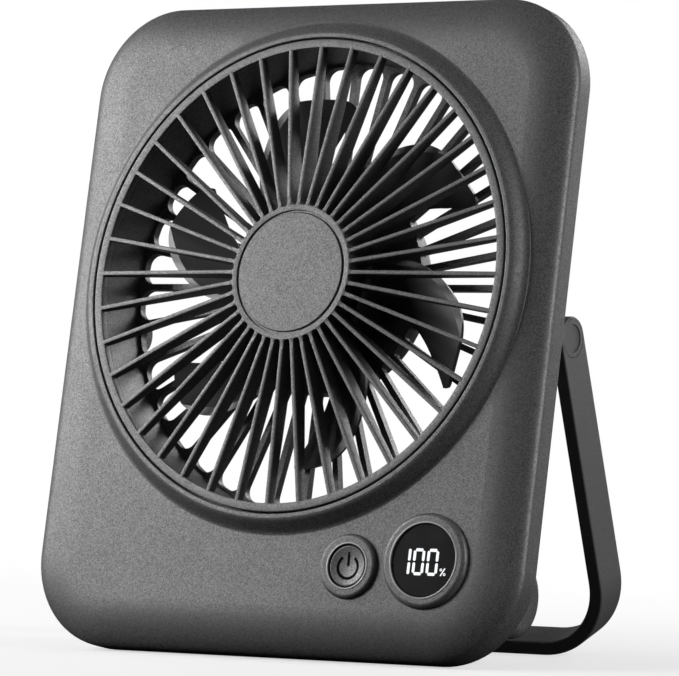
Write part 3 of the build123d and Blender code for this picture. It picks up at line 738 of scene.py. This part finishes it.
@dataclass
class FrontGrille:
    """Ring, hub and thin spokes in front of the impeller. Sizes in millimetres."""

    frame: CaseFrame
    finish: bpy.types.Material
    ring_outer: float = 64.8
    ring_outer_round: float = 0.35
    ring_inner: float = 62.4
    ring_inner_round: float = 0.3
    ring_depth: float = 2.6
    hub_radius: float = 18.4
    hub_rise: float = 2.1
    hub_foot: float = -4.3
    hub_wall: float = 2.0
    hub_plate: float = 3.0
    hub_inner_round: float = 0.3
    back_round: float = 0.2
    recess_radius: float = 16.45
    recess_depth: float = 1.2
    groove_radius: float = 17.0
    groove_depth: float = 0.5
    groove_edge: float = 0.1
    spoke_count: int = 40
    spoke_width: float = 1.15
    spoke_round: float = 0.12
    spoke_round_steps: int = 3
    spoke_bite: float = 0.05
    spoke_root: float = 0.6
    spoke_steps: int = 18
    slot_round: float = 0.86
    turns: int = 240

    def ring_and_hub(self) -> bpy.types.Object:
        """Makes the turned ring and hub.

        Returns:
            The two in one piece, without spokes, in the case's own frame.
        """
        shape = bmesh.new()
        ring = [
            (self.ring_inner, 0, self.ring_inner_round), (self.ring_outer, 0, self.ring_outer_round),
            (self.ring_outer, -self.ring_depth, self.back_round),
            (self.ring_inner, -self.ring_depth, self.back_round),
        ]
        lathe(shape, rounded(ring), self.turns)
        floor = self.hub_rise - self.recess_depth
        shelf = self.hub_rise - self.groove_depth
        inner = self.hub_radius - self.hub_wall
        under = self.hub_rise - self.hub_plate
        hub = [
            (0, floor, 0), (self.recess_radius, floor, 0), (self.recess_radius, shelf, 0),
            (self.groove_radius, shelf, self.groove_edge),
            (self.groove_radius, self.hub_rise, self.groove_edge),
            (self.hub_radius, self.hub_rise, 0), (self.hub_radius, self.hub_foot, self.back_round),
            (inner, self.hub_foot, self.back_round), (inner, under, self.hub_inner_round), (0, under, 0),
        ]
        lathe(shape, rounded(hub), self.turns)
        return make_piece("front_grille_spokes", shape, Matrix.Identity(4), self.finish)

    def spoke_tree(self) -> GeometrySheet:
        """Builds the tree that adds the spokes: a rounded bar, tapered in depth, set round the axis.

        Returns:
            The tree, which joins the spokes to the piece that it runs on.
        """
        sheet = GeometrySheet("grille_spokes")
        count = sheet.size("Count", "Int")
        width = sheet.size("Width")
        edge = sheet.size("Edge")
        start = sheet.size("Start")
        end = sheet.size("End")
        rise = sheet.size("Rise")
        foot = sheet.size("Foot")
        depth = sheet.size("Depth")
        flare = sheet.size("Flare")
        steps = sheet.size("Steps", "Int")

        # A bar of even section from the hub to the ring.
        first = sheet.node("ShaderNodeCombineXYZ", None, {0: start})
        last = sheet.node("ShaderNodeCombineXYZ", None, {0: end})
        sockets = {"Start": first.outputs[0], "End": last.outputs[0]}
        line = sheet.node("GeometryNodeCurvePrimitiveLine", None, sockets)
        path = sheet.node("GeometryNodeResampleCurve", None, {"Curve": line.outputs[0], "Count": steps})
        sockets = {"Width": width, "Height": depth}
        section = sheet.node("GeometryNodeCurvePrimitiveQuadrilateral", None, sockets)
        sockets = {"Curve": section.outputs[0], "Count": self.spoke_round_steps, "Radius": edge}
        soft = sheet.node("GeometryNodeFilletCurve", {"mode": "POLY"}, sockets)
        sockets = {"Curve": path.outputs[0], "Profile Curve": soft.outputs[0], "Fill Caps": True}
        bar = sheet.node("GeometryNodeCurveToMesh", None, sockets)

        # Steps crowd at the root, where the bar flares round the slots' inner ends. Its depth runs evenly
        # from the hub's to the ring's.
        spot = sheet.node("GeometryNodeInputPosition")
        split = sheet.node("ShaderNodeSeparateXYZ", None, {0: spot.outputs[0]})
        reach, across, level = (sheet.wire(split, axis) for axis in range(3))
        even = (reach - start) / (end - start)
        share = even * even * even
        out = share * (end - start)
        hollow = flare - out.least(flare)
        spread = (flare - (flare * flare - hollow * hollow).most(0.0).root()) * 2.0 / width + 1.0
        top = rise - rise * share
        under = foot - (foot + depth) * share
        drop = 0.5 - level / depth
        lifted = top - drop * (top - under)
        place = sheet.node("ShaderNodeCombineXYZ", None, {0: start + out, 1: across * spread, 2: lifted})
        sockets = {0: bar.outputs[0], "Position": place.outputs[0]}
        tapered = sheet.node("GeometryNodeSetPosition", None, sockets)

        # The bar set round the axis, and joined to the ring and hub.
        points = sheet.node("GeometryNodePoints", None, {"Count": count})
        index = sheet.wire(sheet.node("GeometryNodeInputIndex"))
        turn = sheet.node("ShaderNodeCombineXYZ", None, {2: index * math.tau / count})
        sockets = {
            "Points": points.outputs[0], "Instance": tapered.outputs[0], "Rotation": turn.outputs[0],
        }
        spokes = sheet.node("GeometryNodeInstanceOnPoints", None, sockets)
        whole = sheet.node("GeometryNodeJoinGeometry")
        for shape in (sheet.source.outputs[0], spokes.outputs[0]):
            sheet.tree.links.new(shape, whole.inputs[0])
        sheet.close(whole.outputs[0], self.finish)
        return sheet

    def build(self) -> None:
        """Makes the grille and puts it in the place of the plain one."""
        piece = self.ring_and_hub()
        sizes = {
            "Count": self.spoke_count,
            "Width": self.spoke_width * MM,
            "Edge": self.spoke_round * MM,
            "Start": (self.hub_radius - self.spoke_bite) * MM,
            "End": (self.ring_inner + self.spoke_root) * MM,
            "Rise": self.hub_rise * MM,
            "Foot": self.hub_foot * MM,
            "Depth": self.ring_depth * MM,
            "Flare": self.slot_round * MM,
            "Steps": self.spoke_steps,
        }
        self.spoke_tree().apply(piece, sizes)
        piece.data.transform(self.frame.matrix())
        settle(piece, Body.CASE, Slot.GRILLE, "front_grille")


@dataclass
class DisplayDigits:
    """Lit charge reading on the window. Sizes in millimetres."""

    frame: CaseFrame
    finish: bpy.types.Material
    collar: Collar = DISPLAY_COLLAR
    shift_x: float = -0.25
    shift_v: float = -0.39
    surface: float = -2.3
    proud: float = 0.03
    sunk: float = 0.05
    height: float = 7.1
    width: float = 3.5
    stroke: float = 0.8
    gap: float = 0.22
    space: float = 0.72
    cut_share: float = 0.3
    tip_share: float = 0.4
    sign_height: float = 2.1
    sign_width: float = 1.95
    sign_stroke: float = 0.34
    sign_space: float = 0.7
    slope_inset: float = 0.35
    ring_share: float = 0.2
    ring_wall_share: float = 0.6
    ring_inset_share: float = 1.2
    ring_steps: int = 10

    def bar(self, shape: bmesh.types.BMesh, start: Flat, end: Flat, stroke: float) -> None:
        """Adds one lit bar with cut corners, as a thin plate.

        Args:
            shape: the mesh that takes it.
            start: x and v of its first end.
            end: x and v of its other end.
            stroke: its width.
        """
        first, last = Vector(start), Vector(end)
        along = (last - first).normalized()
        side = Vector((-along.y, along.x)) * stroke / 2
        cut = along * stroke * self.cut_share
        tip = side * self.tip_share
        outline = [
            first + tip, first + cut + side, last - cut + side, last + tip,
            last - tip, last - cut - side, first + cut - side, first - tip,
        ]
        self.plate(shape, outline)

    def plate(self, shape: bmesh.types.BMesh, outline: Sequence[Vector]) -> None:
        """Adds a thin plate on the window.

        Args:
            shape: the mesh that takes it.
            outline: x and v of its corners.
        """
        levels = (self.surface - self.sunk, self.surface + self.proud)
        low, high = ([shape.verts.new((p.x * MM, p.y * MM, w * MM)) for p in outline] for w in levels)
        shape.faces.new(high)
        shape.faces.new(low[::-1])
        for index in range(len(outline)):
            after = (index + 1) % len(outline)
            shape.faces.new((low[index], low[after], high[after], high[index]))

    def nought(self, shape: bmesh.types.BMesh, left: float, bottom: float) -> None:
        """Adds the six lit bars of a nought.

        Args:
            shape: the mesh that takes them.
            left: x of its left side.
            bottom: v of its foot.
        """
        half = self.stroke / 2
        x0, x1 = left + half, left + self.width - half
        v0, v1, v2 = bottom + half, bottom + self.height / 2, bottom + self.height - half
        for x in (x0, x1):
            self.bar(shape, (x, v0 + self.gap), (x, v1 - self.gap), self.stroke)
            self.bar(shape, (x, v1 + self.gap), (x, v2 - self.gap), self.stroke)
        for v in (v0, v2):
            self.bar(shape, (x0 + self.gap, v), (x1 - self.gap, v), self.stroke)

    def one(self, shape: bmesh.types.BMesh, left: float, bottom: float) -> None:
        """Adds the two lit bars of a one.

        Args:
            shape: the mesh that takes them.
            left: x of its left side.
            bottom: v of its foot.
        """
        x = left + self.stroke / 2
        middle = bottom + self.height / 2
        self.bar(shape, (x, bottom + self.gap), (x, middle - self.gap), self.stroke)
        self.bar(shape, (x, middle + self.gap), (x, bottom + self.height - self.gap), self.stroke)

    def ring(self, shape: bmesh.types.BMesh, middle: Vector, radius: float) -> None:
        """Adds one small ring of the percent sign.

        Args:
            shape: the mesh that takes it.
            middle: x and v of its centre.
            radius: its outer radius.
        """
        inner = radius - self.sign_stroke * self.ring_wall_share
        ways = [Vector((math.cos(angle), math.sin(angle))) for angle in angles(self.ring_steps)]
        for before, after in zip(ways[-1:] + ways, ways):
            outline = [middle + before * radius, middle + after * radius]
            outline += [middle + after * inner, middle + before * inner]
            self.plate(shape, outline)

    def percent(self, shape: bmesh.types.BMesh, left: float, bottom: float) -> None:
        """Adds the small percent sign: a slope and two rings.

        Args:
            shape: the mesh that takes it.
            left: x of its left side.
            bottom: v of its foot.
        """
        right, top = left + self.sign_width, bottom + self.sign_height
        foot, head = (left + self.slope_inset, bottom), (right - self.slope_inset, top)
        self.bar(shape, foot, head, self.sign_stroke)
        radius = self.sign_width * self.ring_share
        inset = radius * self.ring_inset_share
        self.ring(shape, Vector((left + radius, top - inset)), radius)
        self.ring(shape, Vector((right - radius, bottom + inset)), radius)

    def build(self) -> None:
        """Makes the reading and sets it on the window."""
        shape = bmesh.new()
        total = self.stroke + 2 * self.width + 2 * self.space
        left = self.collar.centre_x + self.shift_x - total / 2
        bottom = self.collar.centre_v + self.shift_v - self.height / 2
        self.one(shape, left, bottom)
        left += self.stroke + self.space
        self.nought(shape, left, bottom)
        left += self.width + self.space
        self.nought(shape, left, bottom)
        self.percent(shape, left + self.width + self.sign_space, bottom)
        piece = make_piece("display_digits", shape, self.frame.matrix(), self.finish)
        settle(piece, Body.CASE, Slot.LENS)


@dataclass
class PowerMark:
    """Power mark that follows the button's dish. Sizes in millimetres."""

    frame: CaseFrame
    finish: bpy.types.Material
    collar: Collar = BUTTON_COLLAR
    shift_v: float = -0.25
    rim: float = -2.4
    dish: float = 0.5
    dish_reach: float = 5.1
    proud: float = 0.03
    sunk: float = 0.08
    radius: float = 3.05
    stroke: float = 0.8
    opening: float = math.radians(36)
    arc_steps: int = 40
    bar_foot: float = 0.3
    bar_top: float = 4.0
    bar_steps: int = 10

    def level(self, x: float, v: float) -> float:
        """Height w of the dished top at a place given from the button's centre."""
        sphere = (self.dish_reach ** 2 + self.dish ** 2) / (2 * self.dish)
        return self.rim - self.dish + sphere - math.sqrt(sphere ** 2 - x * x - v * v)

    def ribbon(self, shape: bmesh.types.BMesh, line: Sequence[tuple[Flat, Flat]]) -> None:
        """Adds a thin strip on the dish.

        Args:
            shape: the mesh that takes it.
            line: pairs of left and right edge points, from the button's centre.
        """
        centre_x, centre_v = self.collar.centre_x, self.collar.centre_v
        rows = []
        for left, right in line:
            over = ((left, self.proud), (right, self.proud))
            under = ((right, -self.sunk), (left, -self.sunk))
            row = []
            for (x, v), lift in over + under:
                place = Vector((centre_x + x, centre_v + v, self.level(x, v) + lift))
                row.append(shape.verts.new(place * MM))
            rows.append(row)
        for row, after in zip(rows, rows[1:]):
            for k in range(len(row)):
                nearby = (k + 1) % len(row)
                shape.faces.new((row[k], row[nearby], after[nearby], after[k]))
        shape.faces.new(rows[0][::-1])
        shape.faces.new(rows[-1])

    def build(self) -> None:
        """Makes the mark and sets it on the button."""
        shape = bmesh.new()
        half = self.stroke / 2
        arc = []
        for k in range(self.arc_steps + 1):
            angle = math.pi / 2 + self.opening + (math.tau - 2 * self.opening) * k / self.arc_steps
            way = Vector((math.cos(angle), math.sin(angle)))
            edges = (way * (self.radius + half), way * (self.radius - half))
            arc.append(tuple((p.x, p.y + self.shift_v) for p in edges))
        self.ribbon(shape, arc)
        bar = []
        for k in range(self.bar_steps + 1):
            v = self.shift_v + self.bar_foot + (self.bar_top - self.bar_foot) * k / self.bar_steps
            bar.append(((-half, v), (half, v)))
        self.ribbon(shape, bar)
        piece = make_piece("power_mark", shape, self.frame.matrix(), self.finish)
        settle(piece, Body.BUTTON, Slot.BUTTON)


@dataclass
class CollarHighlightTrim:
    """Thin ring on the inner edge of a control's collar, painted light grey as a highlight of the edge.
    Sizes in millimetres.
    """

    frame: CaseFrame
    finish: bpy.types.Material
    name: str
    collar: Collar
    width: float = 0.5
    proud: float = 0.14
    sunk: float = 0.1
    soft: float = 0.12
    turns: int = 96

    def build(self) -> None:
        """Makes the ring and sets it on the collar."""
        shape = bmesh.new()
        inner = self.collar.inner_radius
        outer = inner + self.width
        low, high = self.collar.top - self.sunk, self.collar.top + self.proud
        ring = [(inner, low, 0), (outer, low, 0), (outer, high, self.soft), (inner, high, self.soft)]
        lathe(shape, rounded(ring), self.turns)
        centre = (self.collar.centre_x * MM, self.collar.centre_v * MM, 0)
        place = self.frame.matrix() @ Matrix.Translation(centre)
        settle(make_piece(self.name, shape, place, self.finish), Body.CASE, Slot.CASE)


@dataclass
class CaseScrews:
    """Four screws with cross recesses in the back of the case. Sizes in millimetres."""

    frame: CaseFrame
    finish: bpy.types.Material
    side: float = 58.5
    top: float = 55.0
    low: float = 47.0
    seat: float = -13.8
    head_radius: float = 2.2
    head_height: float = 1.4
    shank_radius: float = 1.2
    shank_end: float = 7.0
    dome: float = 0.5
    cross_reach: float = 1.25
    cross_width: float = 0.5
    cross_depth: float = 0.8
    cross_floor_share: float = 0.7
    turns: int = 32

    def turned(self, shape: bmesh.types.BMesh) -> list[bmesh.types.BMVert]:
        """Adds the shank and the head, open at the back.

        Args:
            shape: the mesh that takes them.

        Returns:
            The corners round the open back of the head.
        """
        profile = (
            (self.shank_radius, self.shank_end), (self.shank_radius, 0), (self.head_radius, 0),
            (self.head_radius, self.dome - self.head_height),
            (self.head_radius - self.dome, -self.head_height),
        )
        ways = [(math.cos(angle), math.sin(angle)) for angle in angles(self.turns)]
        rings = []
        for radius, w in profile:
            rings.append([shape.verts.new((radius * x * MM, radius * y * MM, w * MM)) for x, y in ways])
        for ring, after in zip(rings, rings[1:]):
            for k in range(self.turns):
                shape.faces.new((ring[k - 1], ring[k], after[k], after[k - 1]))
        shape.faces.new(rings[0])
        return rings[-1]

    def recess(self, shape: bmesh.types.BMesh) -> list[bmesh.types.BMVert]:
        """Adds the walls and the floor of the cross.

        Args:
            shape: the mesh that takes them.

        Returns:
            The corners of the cross at the back of the head.
        """
        back = -self.head_height * MM
        arm, half = self.cross_reach * MM, self.cross_width / 2 * MM
        corners = []
        for quarter in range(4):
            turn = Matrix.Rotation(quarter * math.pi / 2, 2)
            corners += [turn @ Vector(p) for p in ((half, -half), (arm, -half), (arm, half))]
        mouth = [shape.verts.new((p.x, p.y, back)) for p in corners]
        level = back + self.cross_depth * MM
        floor = [shape.verts.new((*(p * self.cross_floor_share), level)) for p in corners]
        for k in range(len(corners)):
            shape.faces.new((mouth[k - 1], mouth[k], floor[k], floor[k - 1]))
        shape.faces.new(floor)
        return mouth

    def screw(self) -> bmesh.types.BMesh:
        """Makes one screw in its own frame, its head towards -w.

        Returns:
            The screw's faces, with the head's seat at w = 0.
        """
        shape = bmesh.new()
        loops = (self.turned(shape), self.recess(shape))
        edges = [shape.edges.get((loop[k - 1], loop[k])) for loop in loops for k in range(len(loop))]
        bmesh.ops.triangle_fill(shape, use_beauty=True, edges=edges)
        return shape

    def tree(self) -> GeometrySheet:
        """Builds the tree that sets one screw at the four corners of a grid.

        Returns:
            The tree, which runs on one screw.
        """
        sheet = GeometrySheet("case_screws_set")
        width = sheet.size("Width")
        height = sheet.size("Height")
        middle = sheet.size("Middle")
        sockets = {"Size X": width, "Size Y": height, "Vertices X": 2, "Vertices Y": 2}
        grid = sheet.node("GeometryNodeMeshGrid", None, sockets)
        shift = sheet.node("ShaderNodeCombineXYZ", None, {1: middle})
        sockets = {0: grid.outputs[0], "Translation": shift.outputs[0]}
        placed = sheet.node("GeometryNodeTransform", None, sockets)
        sockets = {"Points": placed.outputs[0], "Instance": sheet.source.outputs[0]}
        sheet.close(sheet.node("GeometryNodeInstanceOnPoints", None, sockets).outputs[0], self.finish)
        return sheet

    def build(self) -> None:
        """Makes the screws and puts them in the place of the plain ones."""
        piece = make_piece("case_screws_cross", self.screw(), Matrix.Identity(4), self.finish)
        sizes = {
            "Width": 2 * self.side * MM,
            "Height": (self.top + self.low) * MM,
            "Middle": (self.top - self.low) / 2 * MM,
        }
        self.tree().apply(piece, sizes)
        piece.data.transform(self.frame.matrix() @ Matrix.Translation((0, 0, self.seat * MM)))
        settle(piece, Body.CASE, Slot.STEEL, "case_screws")


@dataclass
class Wardrobe:
    """Finishes of the nodes that keep their own shape, by material slot."""

    frame: CaseFrame
    made: dict[Slot, bpy.types.Material] = field(default_factory=dict)

    def build(self) -> None:
        """Makes one material for each slot."""
        out = self.frame.out()
        finishes = {
            Slot.CASE: GrainedPlastic("case_grain", (0.066, 0.066, 0.067)),
            Slot.STAND: GrainedPlastic("stand_grain", (0.06, 0.06, 0.061), mottle=0.2, strength=0.2),
            Slot.GRILLE: GrainedPlastic("grille_grain", (0.066, 0.066, 0.067)),
            Slot.IMPELLER: SatinPlastic("blade_satin", (0.05, 0.05, 0.052)),
            Slot.BUTTON: GrainedPlastic("button_grain", (0.07, 0.07, 0.072), roughness=0.4, strength=0.3),
            Slot.LENS: SmokedWindow("window_black"),
            Slot.MODULE: SatinPlastic("module_black", (0.012, 0.012, 0.013), roughness=0.42),
            Slot.BOARD: CircuitBoard("board_mask"),
            Slot.STEEL: Metal("bright_steel", (0.6, 0.6, 0.61)),
            Slot.LAMINATION: Layered(
                "core_sheets", (0.34, 0.34, 0.36), (0.08, 0.07, 0.07), out, self.frame.origin
            ),
            Slot.MAGNET: Metal("magnet_nickel", (0.22, 0.22, 0.24), roughness=0.5),
            Slot.COPPER: Layered(
                "coil_turns", (0.74, 0.33, 0.16), (0.18, 0.06, 0.03), Vector((1, 0, 0)), self.frame.origin
            ),
            Slot.BRASS: Metal("sleeve_brass_turned", (0.62, 0.44, 0.16), roughness=0.28),
            Slot.BRONZE: Metal("bearing_bronze", (0.4, 0.25, 0.13), roughness=0.55, grain=0.12 * MM),
            Slot.CELL: CellWrap("cell_sleeve"),
            Slot.WASHER: SatinPlastic("washer_nylon", (0.42, 0.4, 0.36), roughness=0.5),
        }
        for slot, finish in finishes.items():
            self.made[slot] = finish.build()

    def dress(self, node: bpy.types.Object, slot: Slot) -> None:
        """Gives a whole CAD node the finish of its slot.

        Args:
            node: the node.
            slot: its material slot in the record.
        """
        node.data.materials.clear()
        node.data.materials.append(self.made[slot])
        LOG.info("%s: %s", node.name, slot.value)


def looking(place: Vector, direction: Vector) -> Matrix:
    """Place of a camera or lamp that looks along a direction."""
    return Matrix.Translation(place) @ direction.to_track_quat("-Z", "Y").to_matrix().to_4x4()


@dataclass(frozen=True)
class SoftBox:
    """A soft rectangular lamp. Place and size in metres, power in watts."""

    name: str
    place: tuple[float, float, float]
    power: float
    width: float
    height: float

    def build(self, target: Vector) -> None:
        """Hangs the lamp.

        Args:
            target: the point that it faces.
        """
        data = bpy.data.lights.new(self.name, "AREA")
        data.shape = "RECTANGLE"
        data.size, data.size_y = self.width, self.height
        data.energy = self.power
        place = Vector(self.place)
        add_object(self.name, data).matrix_world = looking(place, target - place)


@dataclass
class Studio:
    """Camera, soft lamps, pale floor and white surround. Places in metres."""

    frame: CaseFrame
    image_width: float = 679.0
    focal_pixels: float = 4812.6
    camera_offset: Vector = field(default_factory=lambda: Vector((0.70506, -1.07796, 0.00254)))
    forward: Vector = field(default_factory=lambda: Vector((-0.5394, 0.8419, -0.0154)))
    sensor: float = 36.0
    near: float = 0.01
    ambient: float = 0.1
    mirror_share: float = 0.2
    floor_reach: float = 3.0
    floor_fade: Flat = (-0.05, 0.3)
    floor_roughness: float = 0.7
    paper: Colour = (0.85, 0.85, 0.85)
    bounce: Colour = (0.03, 0.03, 0.03)
    glow: float = 0.6
    target: Vector = field(default_factory=lambda: Vector((0, 0, 0.09)))
    lamps: tuple[SoftBox, ...] = (
        SoftBox("sheen", place=(-0.47, -0.41, 0.31), power=3.7, width=0.3, height=0.26),
        SoftBox("left_strip", place=(-0.57, -0.12, 0.26), power=1.7, width=0.12, height=0.4),
        SoftBox("right_strip", place=(0.74, 0.02, 0.25), power=4.4, width=0.14, height=0.6),
        SoftBox("behind", place=(0.1, 0.85, 0.3), power=3.6, width=0.5, height=0.4),
    )

    def camera(self) -> None:
        """Puts the camera where the photograph was taken from."""
        data = bpy.data.cameras.new("viewpoint")
        data.sensor_fit = "HORIZONTAL"
        data.sensor_width = self.sensor
        data.lens = self.focal_pixels * self.sensor / self.image_width
        data.clip_start = self.near
        view = add_object("viewpoint", data)
        view.matrix_world = looking(self.frame.origin + self.camera_offset, self.forward)
        bpy.context.scene.camera = view

    def seen(self, sheet: NodeSheet) -> tuple[Wire, Wire]:
        """Tells sight from the light that falls on things.

        Args:
            sheet: the sheet that asks.

        Returns:
            1 for rays straight from the camera, and 1 for rays by way of gloss or glass.
        """
        path = sheet.node("ShaderNodeLightPath")
        gloss = sheet.wire(path, "Is Glossy Ray")
        return sheet.wire(path, "Is Camera Ray"), gloss.most(sheet.wire(path, "Is Transmission Ray"))

    def surround(self) -> None:
        """White surround where it is seen, and a low even light on the object."""
        world = bpy.data.worlds.new("surround")
        bpy.context.scene.world = world
        world.use_nodes = True
        sheet = NodeSheet(world.node_tree)
        back = sheet.tree.nodes["Background"]
        sheet.feed(back, "Color", (*WHITE, 1.0))
        straight, mirrored = self.seen(sheet)
        sheet.feed(back, "Strength", straight.most(mirrored * self.mirror_share).most(self.ambient))

    def floor(self) -> None:
        """Pale floor that takes the shadow, and fades into the surround towards the back."""
        reach = self.floor_reach
        mesh = bpy.data.meshes.new("floor")
        corners = [(-reach, -reach, 0), (reach, -reach, 0), (reach, reach, 0), (-reach, reach, 0)]
        mesh.from_pydata(corners, [], [(0, 1, 2, 3)])
        sheet = ShaderSheet("pale_floor")
        straight, mirrored = self.seen(sheet)
        sheet.set(base_color=sheet.tint(self.bounce, self.paper, straight))
        sheet.set(roughness=self.floor_roughness, specular_ior_level=0.0)
        white = sheet.node("ShaderNodeEmission", None, {"Color": (*WHITE, 1.0)})
        away = sheet.step(sheet.along(Vector((0, 1, 0)), Vector((0, 0, 0))), *self.floor_fade)
        plain = straight * (self.glow + away * (1.0 - self.glow))
        share = plain.most(mirrored * away * self.mirror_share)
        sockets = {0: share, 1: sheet.shader.outputs[0], 2: white.outputs[0]}
        sheet.feed(sheet.output, "Surface", sheet.node("ShaderNodeMixShader", None, sockets).outputs[0])
        mesh.materials.append(sheet.material)
        add_object("floor", mesh)

    def build(self) -> None:
        """Sets the whole studio."""
        bpy.context.scene.view_settings.view_transform = "Standard"
        self.camera()
        self.surround()
        self.floor()
        for lamp in self.lamps:
            lamp.build(self.target)


def main() -> None:
    """Builds and dresses the fan."""
    logging.basicConfig(level=logging.INFO)
    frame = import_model()
    spin = next(joint for joint in frame["joints"] if joint["name"] == "fan_spin")
    case = CaseFrame(Vector(spin["pos_m"]))
    Studio(case).build()
    wardrobe = Wardrobe(case)
    wardrobe.build()
    for part in frame["record"]["subparts"]:
        wardrobe.dress(frame["nodes"][part["node"]], Slot(part["material_slot"]))
    FrontGrille(case, wardrobe.made[Slot.GRILLE]).build()
    DisplayDigits(case, Glow("lit_digits").build()).build()
    ink = SatinPlastic("mark_ink", (0.004, 0.004, 0.004), roughness=0.8, shine=0.05)
    PowerMark(case, ink.build()).build()
    # Light grey trim on the collars' inner edges: a painted highlight; its gloss is its own.
    highlight_trim = SatinPlastic("trim_painted_highlight", (0.3, 0.3, 0.305), roughness=0.25, shine=0.8).build()
    CollarHighlightTrim(case, highlight_trim, "display_highlight_trim", DISPLAY_COLLAR).build()
    CollarHighlightTrim(case, highlight_trim, "button_highlight_trim", BUTTON_COLLAR).build()
    zinc = Metal("screw_zinc", (0.5, 0.5, 0.52), roughness=0.35)
    CaseScrews(case, zinc.build()).build()


if __name__ == "__main__":
    main()
